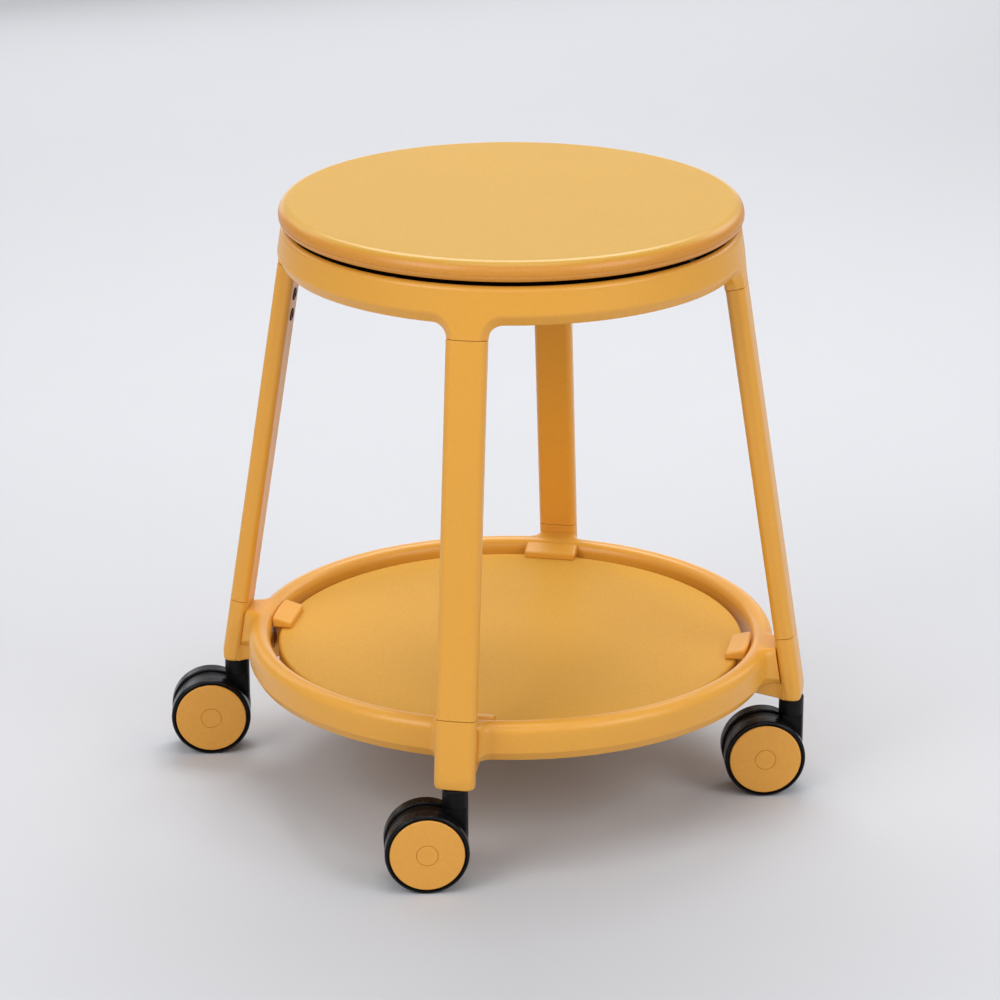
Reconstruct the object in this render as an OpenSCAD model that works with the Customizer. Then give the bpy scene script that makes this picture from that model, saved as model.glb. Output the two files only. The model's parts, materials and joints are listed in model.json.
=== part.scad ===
// Rolling stool: a round swivelling seat on a collar with four splayed legs,
// a round tray in a ring low between the legs, and four twin-wheel casters.
// Z is up, the floor is z = 0 and the stool's axis is x = y = 0.
// The legs stand on the axes. At rest every caster trails towards -X, swivelled by caster_turn.

/* [Seat] */
// Diameter of the seat
seat_d = 336; // [310:1:360]
// Height of the seat's top above the floor
seat_height = 444.6; // [430:0.1:480]
// Height of the upper seat shell, down to the parting line
seat_shell_h = 9.6; // [8.6:0.1:14]
// Height of the lower seat plate, below the parting line
seat_plate_h = 5; // [4.5:0.1:8]
// Rounding of the seat's top edge
seat_edge_r = 7; // [3:0.1:8]
// Rounding of the lower plate's edge
seat_under_r = 4.4; // [2:0.1:4.6]
// Skin of the seat shell and of the tray above their ribs
skin = 4; // [3:0.1:5]
// Wall of the seat shell's rim
seat_rim_wall = 8; // [7:0.1:10]
// Thickness of the ribs under the seat shell and the tray
rib_t = 2.4; // [1.5:0.1:3.5]

/* [Swivel] */
// Shadow gap between the seat and the collar
shadow_gap = 2.4; // [1.5:0.1:4]
// How far the seat stands out past the collar's top
seat_overhang = 2; // [0.5:0.1:5]
// Diameter of the circle that the bearing balls run on
race_d = 210; // [190:1:230]
// Diameter of a bearing ball
ball_d = 6; // [5:0.1:6.5]
// Number of bearing balls
ball_count = 36; // [12:1:60]
// Width of a bearing race
race_w = 16; // [12:0.5:20]
// Thickness of a bearing race
race_t = 3.5; // [3:0.1:4.5]
// Diameter of the swivel pin
pin_d = 16; // [12:0.5:18]
// Thickness of the steel carrier plate
carrier_t = 4; // [3:0.1:5]

/* [Collar] */
// Height of the collar
collar_h = 28.6; // [26:0.1:36]
// Wall of the collar at its top
collar_wall = 9.5; // [9:0.1:12]
// Rounding of the collar's top edge
collar_top_r = 4; // [1:0.1:4.5]
// Height of the bevel along the collar's lower edge
collar_bevel_h = 7; // [3:0.1:9]
// Depth of the bevel into the collar's wall
collar_bevel_d = 5.5; // [3:0.1:6]
// Length of a leg stub below the collar
stub_drop = 10.5; // [9:0.1:14]
// Radius between a stub and the collar's lower edge
stub_fillet_r = 10.5; // [6:0.1:12]

/* [Legs] */
// Angle of the legs to the vertical
leg_splay = 8.93; // [6:0.01:11]
// Width of a leg across the front
leg_w = 29; // [26:0.1:34]
// Depth of a leg, from its outer to its inner face
leg_t = 14; // [13:0.1:17]
// Corner radius of a leg's section
leg_corner_r = 5; // [2.5:0.1:6]
// Wall of the leg tube
leg_wall = 2.5; // [1.8:0.1:3]
// Height of the lower seam, where the leg meets the foot
foot_seam_z = 123.1; // [121:0.1:150]
// Length of the tenons inside the leg tubes
tenon_len = 48; // [46:1:70]
// Distance from the upper seam to the first leg screw
leg_screw_drop = 24; // [18:0.5:27]
// Distance between the two leg screws
leg_screw_pitch = 16; // [12:0.5:18]

/* [Tray] */
// Height of the tray ring
ring_h = 28; // [24:0.5:31]
// Width of the tray ring
ring_w = 15.7; // [13:0.1:17]
// Width of the arm under the ring, inwards from each foot
arm_w = 22.6; // [20:0.1:26]
// Gap between the ring and the foot that its lug bridges
lug_reach = 7.3; // [5:0.1:9]
// Depth of the tray's top below the top of the ring
tray_recess = 9; // [7:0.1:12]
// Height of the tray, with its rim
tray_h = 15; // [11:0.1:15.9]
// Gap all round between the tray and the ring
tray_gap = 6.5; // [4:0.1:8]
// Width of a tray clip
clip_w = 40; // [34:0.5:44]
// Length of a tray clip, across the gap
clip_len = 15.5; // [12:0.1:17]
// Height of the clip's inner edge above the tray
clip_t = 4.5; // [2.5:0.1:5.5]
// Thickness of the clip's leg between the tray and the ring
clip_leg_t = 6.5; // [6:0.1:7]
// Width of the clip's leg
clip_leg_w = 30; // [26:0.5:31]

/* [Casters] */
// Angle that every caster is swivelled by at rest, from trailing straight towards -X
caster_turn = 14; // [0:1:45]
// Diameter of a wheel
wheel_d = 60; // [54:0.5:66]
// Distance from the pivot to the wheels' axle
trail = 20.5; // [17:0.5:22]
// Width of a tyre
tyre_w = 11.5; // [10:0.1:13]
// Thickness of the tyre's tread
tyre_t = 4.5; // [3.5:0.1:5.5]
// Width of the hood between the wheels
hood_w = 12; // [11:0.1:15]
// Diameter of the barrel round the stem
barrel_d = 18.5; // [16:0.1:21]
// Height of the foot's underside above the wheels
head_h = 14.3; // [13.5:0.1:24]
// Diameter of a wheel cap
cap_d = 53; // [50:0.1:53.5]
// Diameter of the fine ring in the cap's middle
cap_ring_d = 16; // [10:0.5:30]
// Diameter of the axle
axle_d = 6; // [5:0.5:8]
// Diameter of the stem in the barrel
stem_d = 8; // [6:0.5:9]

/* [Hidden] */

// The four places round the stool and their directions from the axis
places = ["front", "right", "back", "left"];
headings = [-90, 0, 90, 180];
// The two wheels of a caster: near is its -Y side, far its +Y side
sides = ["near", "far"];

round_fn = 180;
small_fn = 48;

// One overrun serves all cuts
cut = 1;
// Clearances
run_clear = 0.05;
free_clear = 0.3;
fit_clear = 0.1;
seam_gap = 0.4;

// Colours
shell_col = [0.87, 0.64, 0.27];
tray_col = [0.86, 0.62, 0.26];
cap_col = [0.83, 0.59, 0.25];
black_col = [0.08, 0.08, 0.10];
dark_col = [0.16, 0.16, 0.18];
steel_col = [0.62, 0.63, 0.65];

// Seat heights and radii
seat_r = seat_d / 2;
seat_split_z = seat_height - seat_shell_h;
seat_under_z = seat_split_z - seat_plate_h;
split_groove = 0.5;

// Collar heights; its face is flush with the outer faces of the legs
collar_top_z = seat_under_z - shadow_gap;
collar_low_z = collar_top_z - collar_h;
collar_bore_r = seat_r - seat_overhang - collar_wall;
collar_rim_flat = 0.5;
stub_seam_z = collar_low_z - stub_drop;
stub_bulge = 0.5;
gusset_t = 6;

// Leg lines: radius of the centre, outer face and inner face at a height
leg_half = leg_t / 2 / cos(leg_splay);
leg_foot_r = seat_r - seat_overhang + collar_top_z * tan(leg_splay) - leg_half;
function leg_r(z) = leg_foot_r - z * tan(leg_splay);
function outer_r(z) = leg_r(z) + leg_half;
function inner_r(z) = leg_r(z) - leg_half;
function along(z) = z / cos(leg_splay);
top_s = along(stub_seam_z);
low_s = along(foot_seam_z);

// Tenons fill the leg tube
tenon_t = leg_t - 2 * leg_wall - 2 * fit_clear;
tenon_w = leg_w - 2 * leg_wall - 2 * fit_clear;
tenon_corner_r = max(leg_corner_r - leg_wall - fit_clear, fit_clear);
tube_corner_r = max(leg_corner_r - leg_wall, 2 * fit_clear);

// Swivel bearing, from the seat's underside down
race_split = 2.8;
race_r = race_d / 2;
ball_r = ball_d / 2;
carrier_top_z = seat_under_z - 2 * race_t - race_split;
carrier_low_z = carrier_top_z - carrier_t;
ball_z = carrier_top_z + race_t + race_split / 2;
groove_ease = 0.1;
ledge_t = 6;
ledge_w = 9;
carrier_r = collar_bore_r - free_clear;
hub_boss_d = 28;
hub_boss_h = 10;
bush_wall = 1.5;
bush_flange_t = 1.2;
bush_flange_w = 4;
pin_flange_d = 50;
pin_flange_t = 3;
pin_r = pin_d / 2;
clip_ring_t = 1.2;
clip_ring_w = 3.2;
clip_ring_bite = 0.8;
clip_ring_z = carrier_low_z - hub_boss_h - free_clear - clip_ring_t;
pin_tip = 2;
pin_end_z = clip_ring_z - pin_tip;

// Ribs of the seat shell and of the tray: three zones from the hub to the rim
rib_zones = 3;
seat_zone_ribs = 5;
tray_zone_ribs = 6;
hub_pad_r = 30;
seat_rib_r = seat_r - seat_rim_wall;
seat_screw_r = seat_rib_r - (seat_rib_r - hub_pad_r) / rib_zones / 2;

// Screws: shank, head and the depth of their heads' recess
screw_d = 4;
screw_head_d = 7.6;
screw_head_h = 2.3;
screw_key_w = 2.5;
screw_key_deep = 1.3;
head_clear = 0.4;
seat_screws_n = 8;
carrier_screws_n = 8;
seat_screw_len = 9;
carrier_screw_len = 8;
leg_screw_len = 6.5;
tray_screw_len = 14;

// Foot, arm and tray heights
foot_low_z = wheel_d + head_h;
foot_side_r = 2;
foot_taper_h = 8.5;
foot_taper = 1.7;
foot_bevel = 1;
arm_h = 13.3;
arm_rise = 0.17;
arm_inner_len = 17.8;
ring_low_z = foot_low_z + arm_h;
ring_top_z = ring_low_z + ring_h;
ring_mid_z = (ring_low_z + ring_top_z) / 2;
ring_r = inner_r(ring_mid_z) - lug_reach;
ring_bore_r = ring_r - ring_w;
crown_r = ring_w / 2;
ring_bevel_h = 6.5;
ring_bevel_d = 4;
ring_inner_bevel = 1;
lug_fillet_r = 10;
lug_bite = 0.2;
lug_edge_r = 4.5;
lug_bevel_h = 4;
lug_bevel_d = 3;
tray_r = ring_bore_r - tray_gap;
tray_top_z = ring_top_z - tray_recess;
tray_low_z = tray_top_z - tray_h;
tray_edge_r = 2.2;
tray_rim_wall = 7.5;

// Clips: the top slopes down from the ring to the tray
clip_fall = 14.5;
clip_outer_r = ring_bore_r - free_clear;
clip_inner_r = clip_outer_r - clip_len;
clip_leg_gap = 3;
clip_leg_out_r = ring_bore_r - clip_leg_gap;
clip_leg_in_r = clip_leg_out_r - clip_leg_t;
clip_edge_r = 1.8;
clip_screw_off = 5.5;
screw_seat_h = 5.5;

// Casters, in a frame with the pivot on the Z axis
stem_inset = 2.4;
pivot_r = leg_r(foot_low_z) - stem_inset;
stem_shank_d = 10;
stem_shank_h = 16;
stem_h = 30;
barrel_top_z = foot_low_z - free_clear;
barrel_edge = 0.8;
wheel_r = wheel_d / 2;
hood_inset = 1.6;
hood_r = wheel_r - hood_inset;
hood_skirt = 6;
hood_skirt_z = wheel_r - hood_skirt;
hood_gap = 0.6;
axle_boss_r = 11;
neck_dip = 2;
neck_low_z = wheel_r - neck_dip;
wheel_gap = free_clear;
wheel_in_y = hood_w / 2 + wheel_gap;
tyre_out_y = wheel_in_y + tyre_w;
tyre_shoulder_r = 1.6;
tyre_inner_r = 1.2;
hub_r = wheel_r - tyre_t;
cap_r = cap_d / 2;
cap_t = 1.8;
cap_proud = 0.6;
cap_edge = 0.7;
cap_groove_w = 0.5;
cap_groove_deep = 0.4;
cap_in_y = tyre_out_y + cap_proud - cap_t;
cap_spigot_h = 2.5;
cap_spigot_t = 1.8;
hub_rim_t = 3;
hub_web_t = 3;
hub_boss_r = 7.5;
axle_r = axle_d / 2;
axle_end_y = cap_in_y - cap_spigot_h;
axle_tip = 0.6;
snap_ring_d = 1.4;
snap_ring_drop = 22;
snap_ring_z = barrel_top_z - snap_ring_drop;

// Plain helpers

// A rectangle with round corners, centred, made of true arcs
module round_rect(x, y, r) {
    square([x - 2 * r, y], center = true);
    square([x, y - 2 * r], center = true);
    for (i = [-1, 1], j = [-1, 1])
        translate([i * (x / 2 - r), j * (y / 2 - r)])
            circle(r = r, $fn = small_fn);
}

// Turns its children to one of the four places
module at_place(k) {
    rotate([0, 0, headings[k]])
        children();
}

// Stands its children on a leg's centre line: Z runs up the leg and X points outwards
module on_leg() {
    translate([leg_foot_r, 0, 0])
        rotate([0, -leg_splay, 0])
            children();
}

// A length of the leg's section from s0 to s1 along the leg
module leg_bar(s0, s1, t, w, r) {
    on_leg()
        translate([0, 0, s0])
            linear_extrude(height = s1 - s0)
                round_rect(t, w, r);
}

// A socket-head screw, its head's underside at z = 0 and its shank pointing up
module screw(len) {
    difference() {
        union() {
            cylinder(h = len, r = screw_d / 2, $fn = small_fn);
            translate([0, 0, -screw_head_h])
                cylinder(h = screw_head_h, r = screw_head_d / 2, $fn = small_fn);
        }
        translate([0, 0, -screw_head_h - cut])
            cylinder(h = screw_key_deep + cut, r = screw_key_w, $fn = 6);
    }
}

// The hole for a screw: clear for the head below z = 0 over a given depth
module screw_hole(len, head_deep) {
    cylinder(h = len, r = screw_d / 2, $fn = small_fn);
    translate([0, 0, -head_deep])
        cylinder(h = head_deep, r = screw_head_d / 2 + head_clear, $fn = small_fn);
}

// The ribs under a round plate: rings between the zones, and more ribs in each zone outwards
module rib_web(r, h, zone_ribs) {
    pitch = (r - hub_pad_r) / rib_zones;
    cylinder(h = h, r = hub_pad_r, $fn = small_fn);
    for (i = [1:rib_zones - 1])
        difference() {
            cylinder(h = h, r = hub_pad_r + i * pitch + rib_t / 2, $fn = round_fn);
            translate([0, 0, -cut])
                cylinder(h = h + 2 * cut, r = hub_pad_r + i * pitch - rib_t / 2, $fn = round_fn);
        }
    for (i = [0:rib_zones - 1], j = [1:zone_ribs * (i + 2)])
        rotate([0, 0, j * 360 / (zone_ribs * (i + 2))])
            translate([hub_pad_r + i * pitch - rib_t / 4, -rib_t / 2, 0])
                cube([pitch + rib_t / 2, rib_t, h]);
}

// Seat

// The upper shell of the seat, ribbed beneath
module seat_top() {
    color(shell_col)
        difference() {
            translate([0, 0, seat_split_z])
                union() {
                    seat_shell();
                    rib_web(seat_rib_r, seat_shell_h - skin, seat_zone_ribs);
                    for (j = [1:seat_screws_n])
                        rotate([0, 0, (j + 0.5) * 360 / seat_screws_n])
                            translate([seat_screw_r, 0, 0])
                                cylinder(h = seat_shell_h - skin, r = screw_d, $fn = small_fn);
                }
            translate([0, 0, seat_split_z - cut])
                cylinder(h = pin_flange_t + free_clear + cut, r = pin_flange_d / 2 + free_clear, $fn = round_fn);
            at_seat_screws()
                screw_hole(seat_screw_len, cut);
        }
}

// The shell's outside with its rounded edge, hollow up to the skin
module seat_shell() {
    rotate_extrude($fn = round_fn)
        difference() {
            union() {
                square([seat_r - seat_edge_r, seat_shell_h]);
                square([seat_r, seat_shell_h - seat_edge_r]);
                translate([seat_r - seat_edge_r, seat_shell_h - seat_edge_r])
                    intersection() {
                        circle(r = seat_edge_r, $fn = small_fn);
                        square([seat_edge_r, seat_edge_r]);
                    }
            }
            translate([0, -cut])
                square([seat_rib_r, seat_shell_h - skin + cut]);
            translate([seat_r - split_groove, -cut])
                square([split_groove + cut, split_groove / 2 + cut]);
        }
}

// The lower plate of the seat, which closes the shell and carries the upper race
module seat_plate() {
    color(shell_col)
        difference() {
            translate([0, 0, seat_under_z])
                rotate_extrude($fn = round_fn)
                    difference() {
                        union() {
                            square([seat_r - seat_under_r, seat_plate_h]);
                            translate([0, seat_under_r])
                                square([seat_r, seat_plate_h - seat_under_r]);
                            translate([seat_r - seat_under_r, seat_under_r])
                                intersection() {
                                    circle(r = seat_under_r, $fn = small_fn);
                                    translate([0, -seat_under_r])
                                        square([seat_under_r, seat_under_r]);
                                }
                        }
                        translate([seat_r - split_groove, seat_plate_h - split_groove / 2])
                            square([split_groove + cut, split_groove / 2 + cut]);
                    }
            translate([0, 0, seat_under_z - cut])
                cylinder(h = seat_plate_h + 2 * cut, r = pin_r, $fn = small_fn);
            at_seat_screws()
                screw_hole(seat_screw_len, screw_head_h + cut);
        }
}

// The seat screws stand between the outer ribs
module at_seat_screws() {
    for (j = [1:seat_screws_n])
        rotate([0, 0, (j + 0.5) * 360 / seat_screws_n])
            translate([seat_screw_r, 0, seat_under_z + screw_head_h])
                children();
}

module seat_screws() {
    color(steel_col)
        at_seat_screws()
            screw(seat_screw_len);
}

// The pin that holds the seat down, with its flange inside the seat
module swivel_pin() {
    color(steel_col)
        difference() {
            union() {
                translate([0, 0, pin_end_z])
                    cylinder(h = seat_split_z - pin_end_z, r = pin_r, $fn = small_fn);
                translate([0, 0, seat_split_z])
                    cylinder(h = pin_flange_t, r = pin_flange_d / 2, $fn = round_fn);
            }
            translate([0, 0, clip_ring_z])
                difference() {
                    cylinder(h = clip_ring_t, r = pin_r + cut, $fn = small_fn);
                    translate([0, 0, -cut])
                        cylinder(h = clip_ring_t + 2 * cut, r = pin_r - clip_ring_bite, $fn = small_fn);
                }
        }
}

// The circlip in the pin's groove, below the carrier
module swivel_circlip() {
    color(dark_col)
        translate([0, 0, clip_ring_z])
            difference() {
                cylinder(h = clip_ring_t, r = pin_r + clip_ring_w, $fn = small_fn);
                translate([0, 0, -cut])
                    cylinder(h = clip_ring_t + 2 * cut, r = pin_r - clip_ring_bite, $fn = small_fn);
                translate([0, -pin_r / 2, -cut])
                    cube([2 * pin_r, pin_r, clip_ring_t + 2 * cut]);
            }
}

// A flat ring with a groove for the balls
module race(low_z, groove_z) {
    color(steel_col)
        difference() {
            translate([0, 0, low_z])
                rotate_extrude($fn = round_fn)
                    translate([race_r - race_w / 2, 0])
                        square([race_w, race_t]);
            translate([0, 0, groove_z])
                rotate_extrude($fn = round_fn)
                    translate([race_r, 0])
                        circle(r = ball_r + groove_ease, $fn = small_fn);
        }
}

module upper_race() {
    race(seat_under_z - race_t, ball_z);
}

module lower_race() {
    race(carrier_top_z, ball_z + groove_ease);
}

module swivel_balls() {
    color(steel_col)
        for (j = [1:ball_count])
            rotate([0, 0, j * 360 / ball_count])
                translate([race_r, 0, ball_z])
                    sphere(r = ball_r, $fn = small_fn);
}

// Collar and carrier

// The collar's ring: a cone outside, a bore inside and a ledge for the carrier
module collar_ring() {
    top_r = outer_r(collar_top_z);
    face_low_z = collar_low_z + collar_bevel_h;
    rotate_extrude($fn = round_fn)
        difference() {
            polygon([
                [collar_bore_r, collar_low_z],
                [outer_r(face_low_z) - collar_bevel_d, collar_low_z],
                [outer_r(face_low_z), face_low_z],
                [top_r, collar_top_z],
                [top_r - collar_top_r - collar_rim_flat, collar_top_z],
                [collar_bore_r, carrier_top_z]
            ]);
            collar_top_corner();
        }
    translate([0, 0, carrier_low_z - ledge_t])
        rotate_extrude($fn = round_fn)
            translate([collar_bore_r - ledge_w, 0])
                square([ledge_w + cut, ledge_t]);
}

// What the rounding takes off the collar's top edge
module collar_top_corner() {
    mid_r = outer_r(collar_top_z) - collar_top_r;
    mid_z = collar_top_z - collar_top_r;
    difference() {
        translate([mid_r, mid_z])
            square([2 * collar_top_r, collar_top_r + cut]);
        translate([mid_r, mid_z])
            circle(r = collar_top_r, $fn = small_fn);
    }
}

// A stub from the collar down to the seam: the collar's own cone, with the leg's round corners
module leg_stub() {
    low_z = stub_seam_z - cut;
    top_z = collar_low_z + collar_bevel_h;
    intersection() {
        rotate_extrude($fn = round_fn)
            polygon([
                [inner_r(low_z), low_z],
                [outer_r(low_z), low_z],
                [outer_r(top_z), top_z],
                [inner_r(top_z), top_z]
            ]);
        leg_bar(top_s, along(top_z + leg_t), leg_t + 2 * stub_bulge, leg_w, leg_corner_r);
    }
}

// The fillet between a stub's side and the collar's lower edge
module stub_gusset() {
    centre_y = leg_w / 2 + stub_fillet_r;
    centre_z = collar_low_z - stub_fillet_r;
    difference() {
        intersection() {
            rotate_extrude($fn = round_fn)
                translate([collar_bore_r + stub_bulge, centre_z])
                    square([gusset_t, stub_fillet_r + stub_bulge]);
            translate([0, leg_w / 2 - stub_bulge, centre_z - cut])
                cube([2 * collar_bore_r, stub_fillet_r, 2 * stub_fillet_r]);
        }
        translate([0, centre_y, centre_z])
            rotate([0, 90, 0])
                cylinder(h = 2 * collar_bore_r, r = stub_fillet_r + fit_clear, $fn = round_fn);
    }
}

// The collar with its four stubs and the tenons that fill the tops of the legs
module frame_collar() {
    color(shell_col)
        difference() {
            union() {
                collar_ring();
                for (k = [0:3])
                    at_place(k) {
                        leg_stub();
                        stub_gusset();
                        mirror([0, 1, 0])
                            stub_gusset();
                        leg_bar(top_s - tenon_len, top_s + tenon_t, tenon_t, tenon_w, tenon_corner_r);
                    }
            }
            for (k = [0:3])
                at_place(k)
                    at_leg_screws()
                        screw_hole(leg_screw_len, leg_t);
            at_carrier_screws()
                screw_hole(carrier_screw_len, cut);
        }
}

// The steel plate inside the collar, with the boss that holds the swivel bush
module carrier_plate() {
    color(dark_col)
        difference() {
            union() {
                translate([0, 0, carrier_low_z])
                    cylinder(h = carrier_t, r = carrier_r, $fn = round_fn);
                translate([0, 0, carrier_low_z - hub_boss_h])
                    cylinder(h = hub_boss_h, r = hub_boss_d / 2, $fn = small_fn);
            }
            translate([0, 0, carrier_low_z - hub_boss_h - cut])
                cylinder(h = hub_boss_h + carrier_t + 2 * cut, r = pin_r + run_clear + bush_wall, $fn = small_fn);
            at_carrier_screws()
                screw_hole(carrier_screw_len, screw_head_h);
        }
}

// The carrier's screws point down into the collar's ledge, between the legs
module at_carrier_screws() {
    for (j = [1:carrier_screws_n])
        rotate([0, 0, (j + 0.5) * 360 / carrier_screws_n])
            translate([collar_bore_r - ledge_w / 2, 0, carrier_top_z])
                rotate([180, 0, 0])
                    children();
}

module carrier_screws() {
    color(steel_col)
        at_carrier_screws()
            screw(carrier_screw_len);
}

// The flanged bush that the swivel pin turns in
module swivel_bush() {
    bush_r = pin_r + run_clear + bush_wall;
    color(black_col)
        difference() {
            union() {
                translate([0, 0, carrier_low_z - hub_boss_h])
                    cylinder(h = hub_boss_h + carrier_t, r = bush_r, $fn = small_fn);
                translate([0, 0, carrier_top_z])
                    cylinder(h = bush_flange_t, r = bush_r + bush_flange_w, $fn = small_fn);
            }
            translate([0, 0, carrier_low_z - hub_boss_h - cut])
                cylinder(h = hub_boss_h + carrier_t + bush_flange_t + 2 * cut, r = pin_r + run_clear, $fn = small_fn);
        }
}

// Legs

// One leg tube between its two seams, with the screw holes in its inner face
module leg(k) {
    color(shell_col)
        at_place(k)
            difference() {
                leg_bar(low_s + seam_gap / 2, top_s - seam_gap / 2, leg_t, leg_w, leg_corner_r);
                leg_bar(low_s - cut, top_s + cut, leg_t - 2 * leg_wall, leg_w - 2 * leg_wall, tube_corner_r);
                at_leg_screws()
                    screw_hole(cut, leg_t);
            }
}

// The screws' heads rest on the tenon's inner face, inside holes in the tube's wall
module at_leg_screws() {
    for (i = [0, 1])
        on_leg()
            translate([-tenon_t / 2, 0, top_s - leg_screw_drop - i * leg_screw_pitch])
                rotate([0, 90, 0])
                    children();
}

module leg_screws() {
    color(dark_col)
        for (k = [0:3])
            at_place(k)
                at_leg_screws()
                    screw(leg_screw_len);
}

// Feet

// The foot below the lower seam, its tenon in the leg and its arm under the ring
module foot(k) {
    color(shell_col)
        at_place(k)
            difference() {
                union() {
                    intersection() {
                        leg_bar(along(foot_low_z) - leg_t, low_s - seam_gap / 2, leg_t, leg_w, leg_corner_r);
                        foot_side_shape();
                        foot_edge_shape();
                    }
                    foot_arm();
                    leg_bar(low_s - leg_t, low_s + tenon_len, tenon_t, tenon_w, tenon_corner_r);
                }
                translate([pivot_r, 0, foot_low_z - cut])
                    cylinder(h = stem_shank_h + cut, r = stem_shank_d / 2, $fn = small_fn);
                at_tray_screws()
                    screw_hole(tray_screw_len, arm_h);
            }
}

// The arm in side view: it rises inwards, carries the ring and ends in a higher pad for the tray
module foot_arm() {
    end_r = ring_bore_r - arm_inner_len;
    step_r = sqrt(pow(ring_bore_r, 2) - pow(arm_w / 2, 2)) - free_clear;
    rise = arm_rise * (inner_r(foot_low_z) - end_r);
    rotate([90, 0, 0])
        translate([0, 0, -arm_w / 2])
            linear_extrude(height = arm_w)
                polygon([
                    [leg_r(foot_low_z), foot_low_z],
                    [inner_r(foot_low_z), foot_low_z],
                    [end_r, foot_low_z + rise],
                    [end_r, tray_low_z],
                    [step_r, tray_low_z],
                    [step_r, ring_low_z],
                    [leg_r(ring_low_z), ring_low_z]
                ]);
}

// The foot's outline seen from outside: its lower corners are rounded
module foot_side_shape() {
    h = 2 * foot_seam_z;
    rotate([90, 0, 90])
        linear_extrude(height = 2 * leg_foot_r)
            translate([0, foot_low_z + h / 2])
                round_rect(leg_w, h, foot_side_r);
}

// The foot's outline seen from the side: its outer face draws in towards the bottom
module foot_edge_shape() {
    taper_z = foot_low_z + foot_taper_h;
    taper_r = outer_r(taper_z);
    rotate([90, 0, 0])
        translate([0, 0, -leg_w])
            linear_extrude(height = 2 * leg_w)
                polygon([
                    [0, foot_low_z],
                    [taper_r - foot_taper - foot_bevel, foot_low_z],
                    [taper_r - foot_taper, foot_low_z + foot_bevel],
                    [taper_r, taper_z],
                    [2 * leg_foot_r, taper_z],
                    [2 * leg_foot_r, 2 * foot_seam_z],
                    [0, 2 * foot_seam_z]
                ]);
}

// Tray

// The ring in section: flat outside, full round on top, bevelled below
module ring_section() {
    crown_z = ring_top_z - crown_r;
    polygon([
        [ring_bore_r, ring_low_z + ring_inner_bevel],
        [ring_bore_r + ring_inner_bevel, ring_low_z],
        [ring_r - ring_bevel_d, ring_low_z],
        [ring_r, ring_low_z + ring_bevel_h],
        [ring_r, crown_z],
        [ring_bore_r, crown_z]
    ]);
    translate([ring_bore_r + crown_r, crown_z])
        circle(r = crown_r, $fn = small_fn);
}

// Outline of the round void beside a lug: it opens upwards with the lug's rounded edge
// and downwards with its bevel
module lug_void_section() {
    r = lug_fillet_r;
    difference() {
        polygon([
            [0, ring_low_z - cut],
            [r + lug_bevel_d, ring_low_z - cut],
            [r + lug_bevel_d, ring_low_z],
            [r, ring_low_z + lug_bevel_h],
            [r, ring_top_z - lug_edge_r],
            [r + lug_edge_r, ring_top_z - lug_edge_r],
            [r + lug_edge_r, ring_top_z + cut],
            [0, ring_top_z + cut]
        ]);
        translate([r + lug_edge_r, ring_top_z - lug_edge_r])
            circle(r = lug_edge_r, $fn = small_fn);
    }
}

// A lug from the ring's crown out to the foot, with flared sides that end just inside the ring
module ring_lug() {
    void_y = leg_w / 2 + lug_fillet_r;
    void_x = sqrt(pow(ring_r + lug_fillet_r - lug_bite, 2) - pow(void_y, 2));
    start_x = ring_r - crown_r;
    difference() {
        translate([start_x, -void_y, ring_low_z])
            cube([2 * crown_r + lug_reach, 2 * void_y, ring_h]);
        for (i = [-1, 1])
            translate([void_x, i * void_y, 0])
                rotate_extrude($fn = round_fn)
                    lug_void_section();
        on_leg()
            translate([-leg_t / 2 - seam_gap, -leg_w * 2, 0])
                cube([leg_w, leg_w * 4, low_s + leg_w]);
    }
}

module tray_ring() {
    color(shell_col)
        difference() {
            union() {
                rotate_extrude($fn = round_fn)
                    ring_section();
                for (k = [0:3])
                    at_place(k)
                        ring_lug();
            }
            for (k = [0:3])
                at_place(k)
                    at_tray_screws()
                        screw_hole(tray_screw_len, cut);
        }
}

// The tray: a ribbed round plate with a notch at each clip
module tray_disc() {
    color(tray_col)
        difference() {
            translate([0, 0, tray_low_z]) {
                tray_shell();
                rib_web(tray_r - tray_rim_wall, tray_h - skin, tray_zone_ribs);
            }
            for (k = [0:3])
                at_place(k)
                    translate([clip_leg_in_r - free_clear, -clip_leg_w / 2 - free_clear, tray_low_z - cut])
                        cube([tray_r, clip_leg_w + 2 * free_clear, tray_h + 2 * cut]);
        }
}

module tray_shell() {
    rotate_extrude($fn = round_fn)
        difference() {
            union() {
                square([tray_r - tray_edge_r, tray_h]);
                square([tray_r, tray_h - tray_edge_r]);
                translate([tray_r - tray_edge_r, tray_h - tray_edge_r])
                    circle(r = tray_edge_r, $fn = small_fn);
            }
            translate([0, -cut])
                square([tray_r - tray_rim_wall, tray_h - skin + cut]);
        }
}

// A clip: a sloping plate over the tray's edge on a leg that stands on the foot's arm
module tray_clip() {
    slab_h = clip_len * sin(clip_fall) + 2 * clip_t;
    difference() {
        union() {
            intersection() {
                translate([clip_inner_r, 0, tray_top_z + clip_t])
                    rotate([0, -clip_fall, 0])
                        clip_slab(slab_h);
                translate([0, -clip_w, tray_top_z])
                    cube([clip_outer_r, 2 * clip_w, slab_h]);
                translate([0, 0, tray_top_z - cut])
                    cylinder(h = slab_h + 2 * cut, r = clip_outer_r, $fn = round_fn);
            }
            translate([clip_leg_in_r, -clip_leg_w / 2, tray_low_z])
                cube([clip_leg_t, clip_leg_w, tray_h]);
        }
        at_tray_screws()
            screw_hole(tray_screw_len, cut);
    }
}

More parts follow.
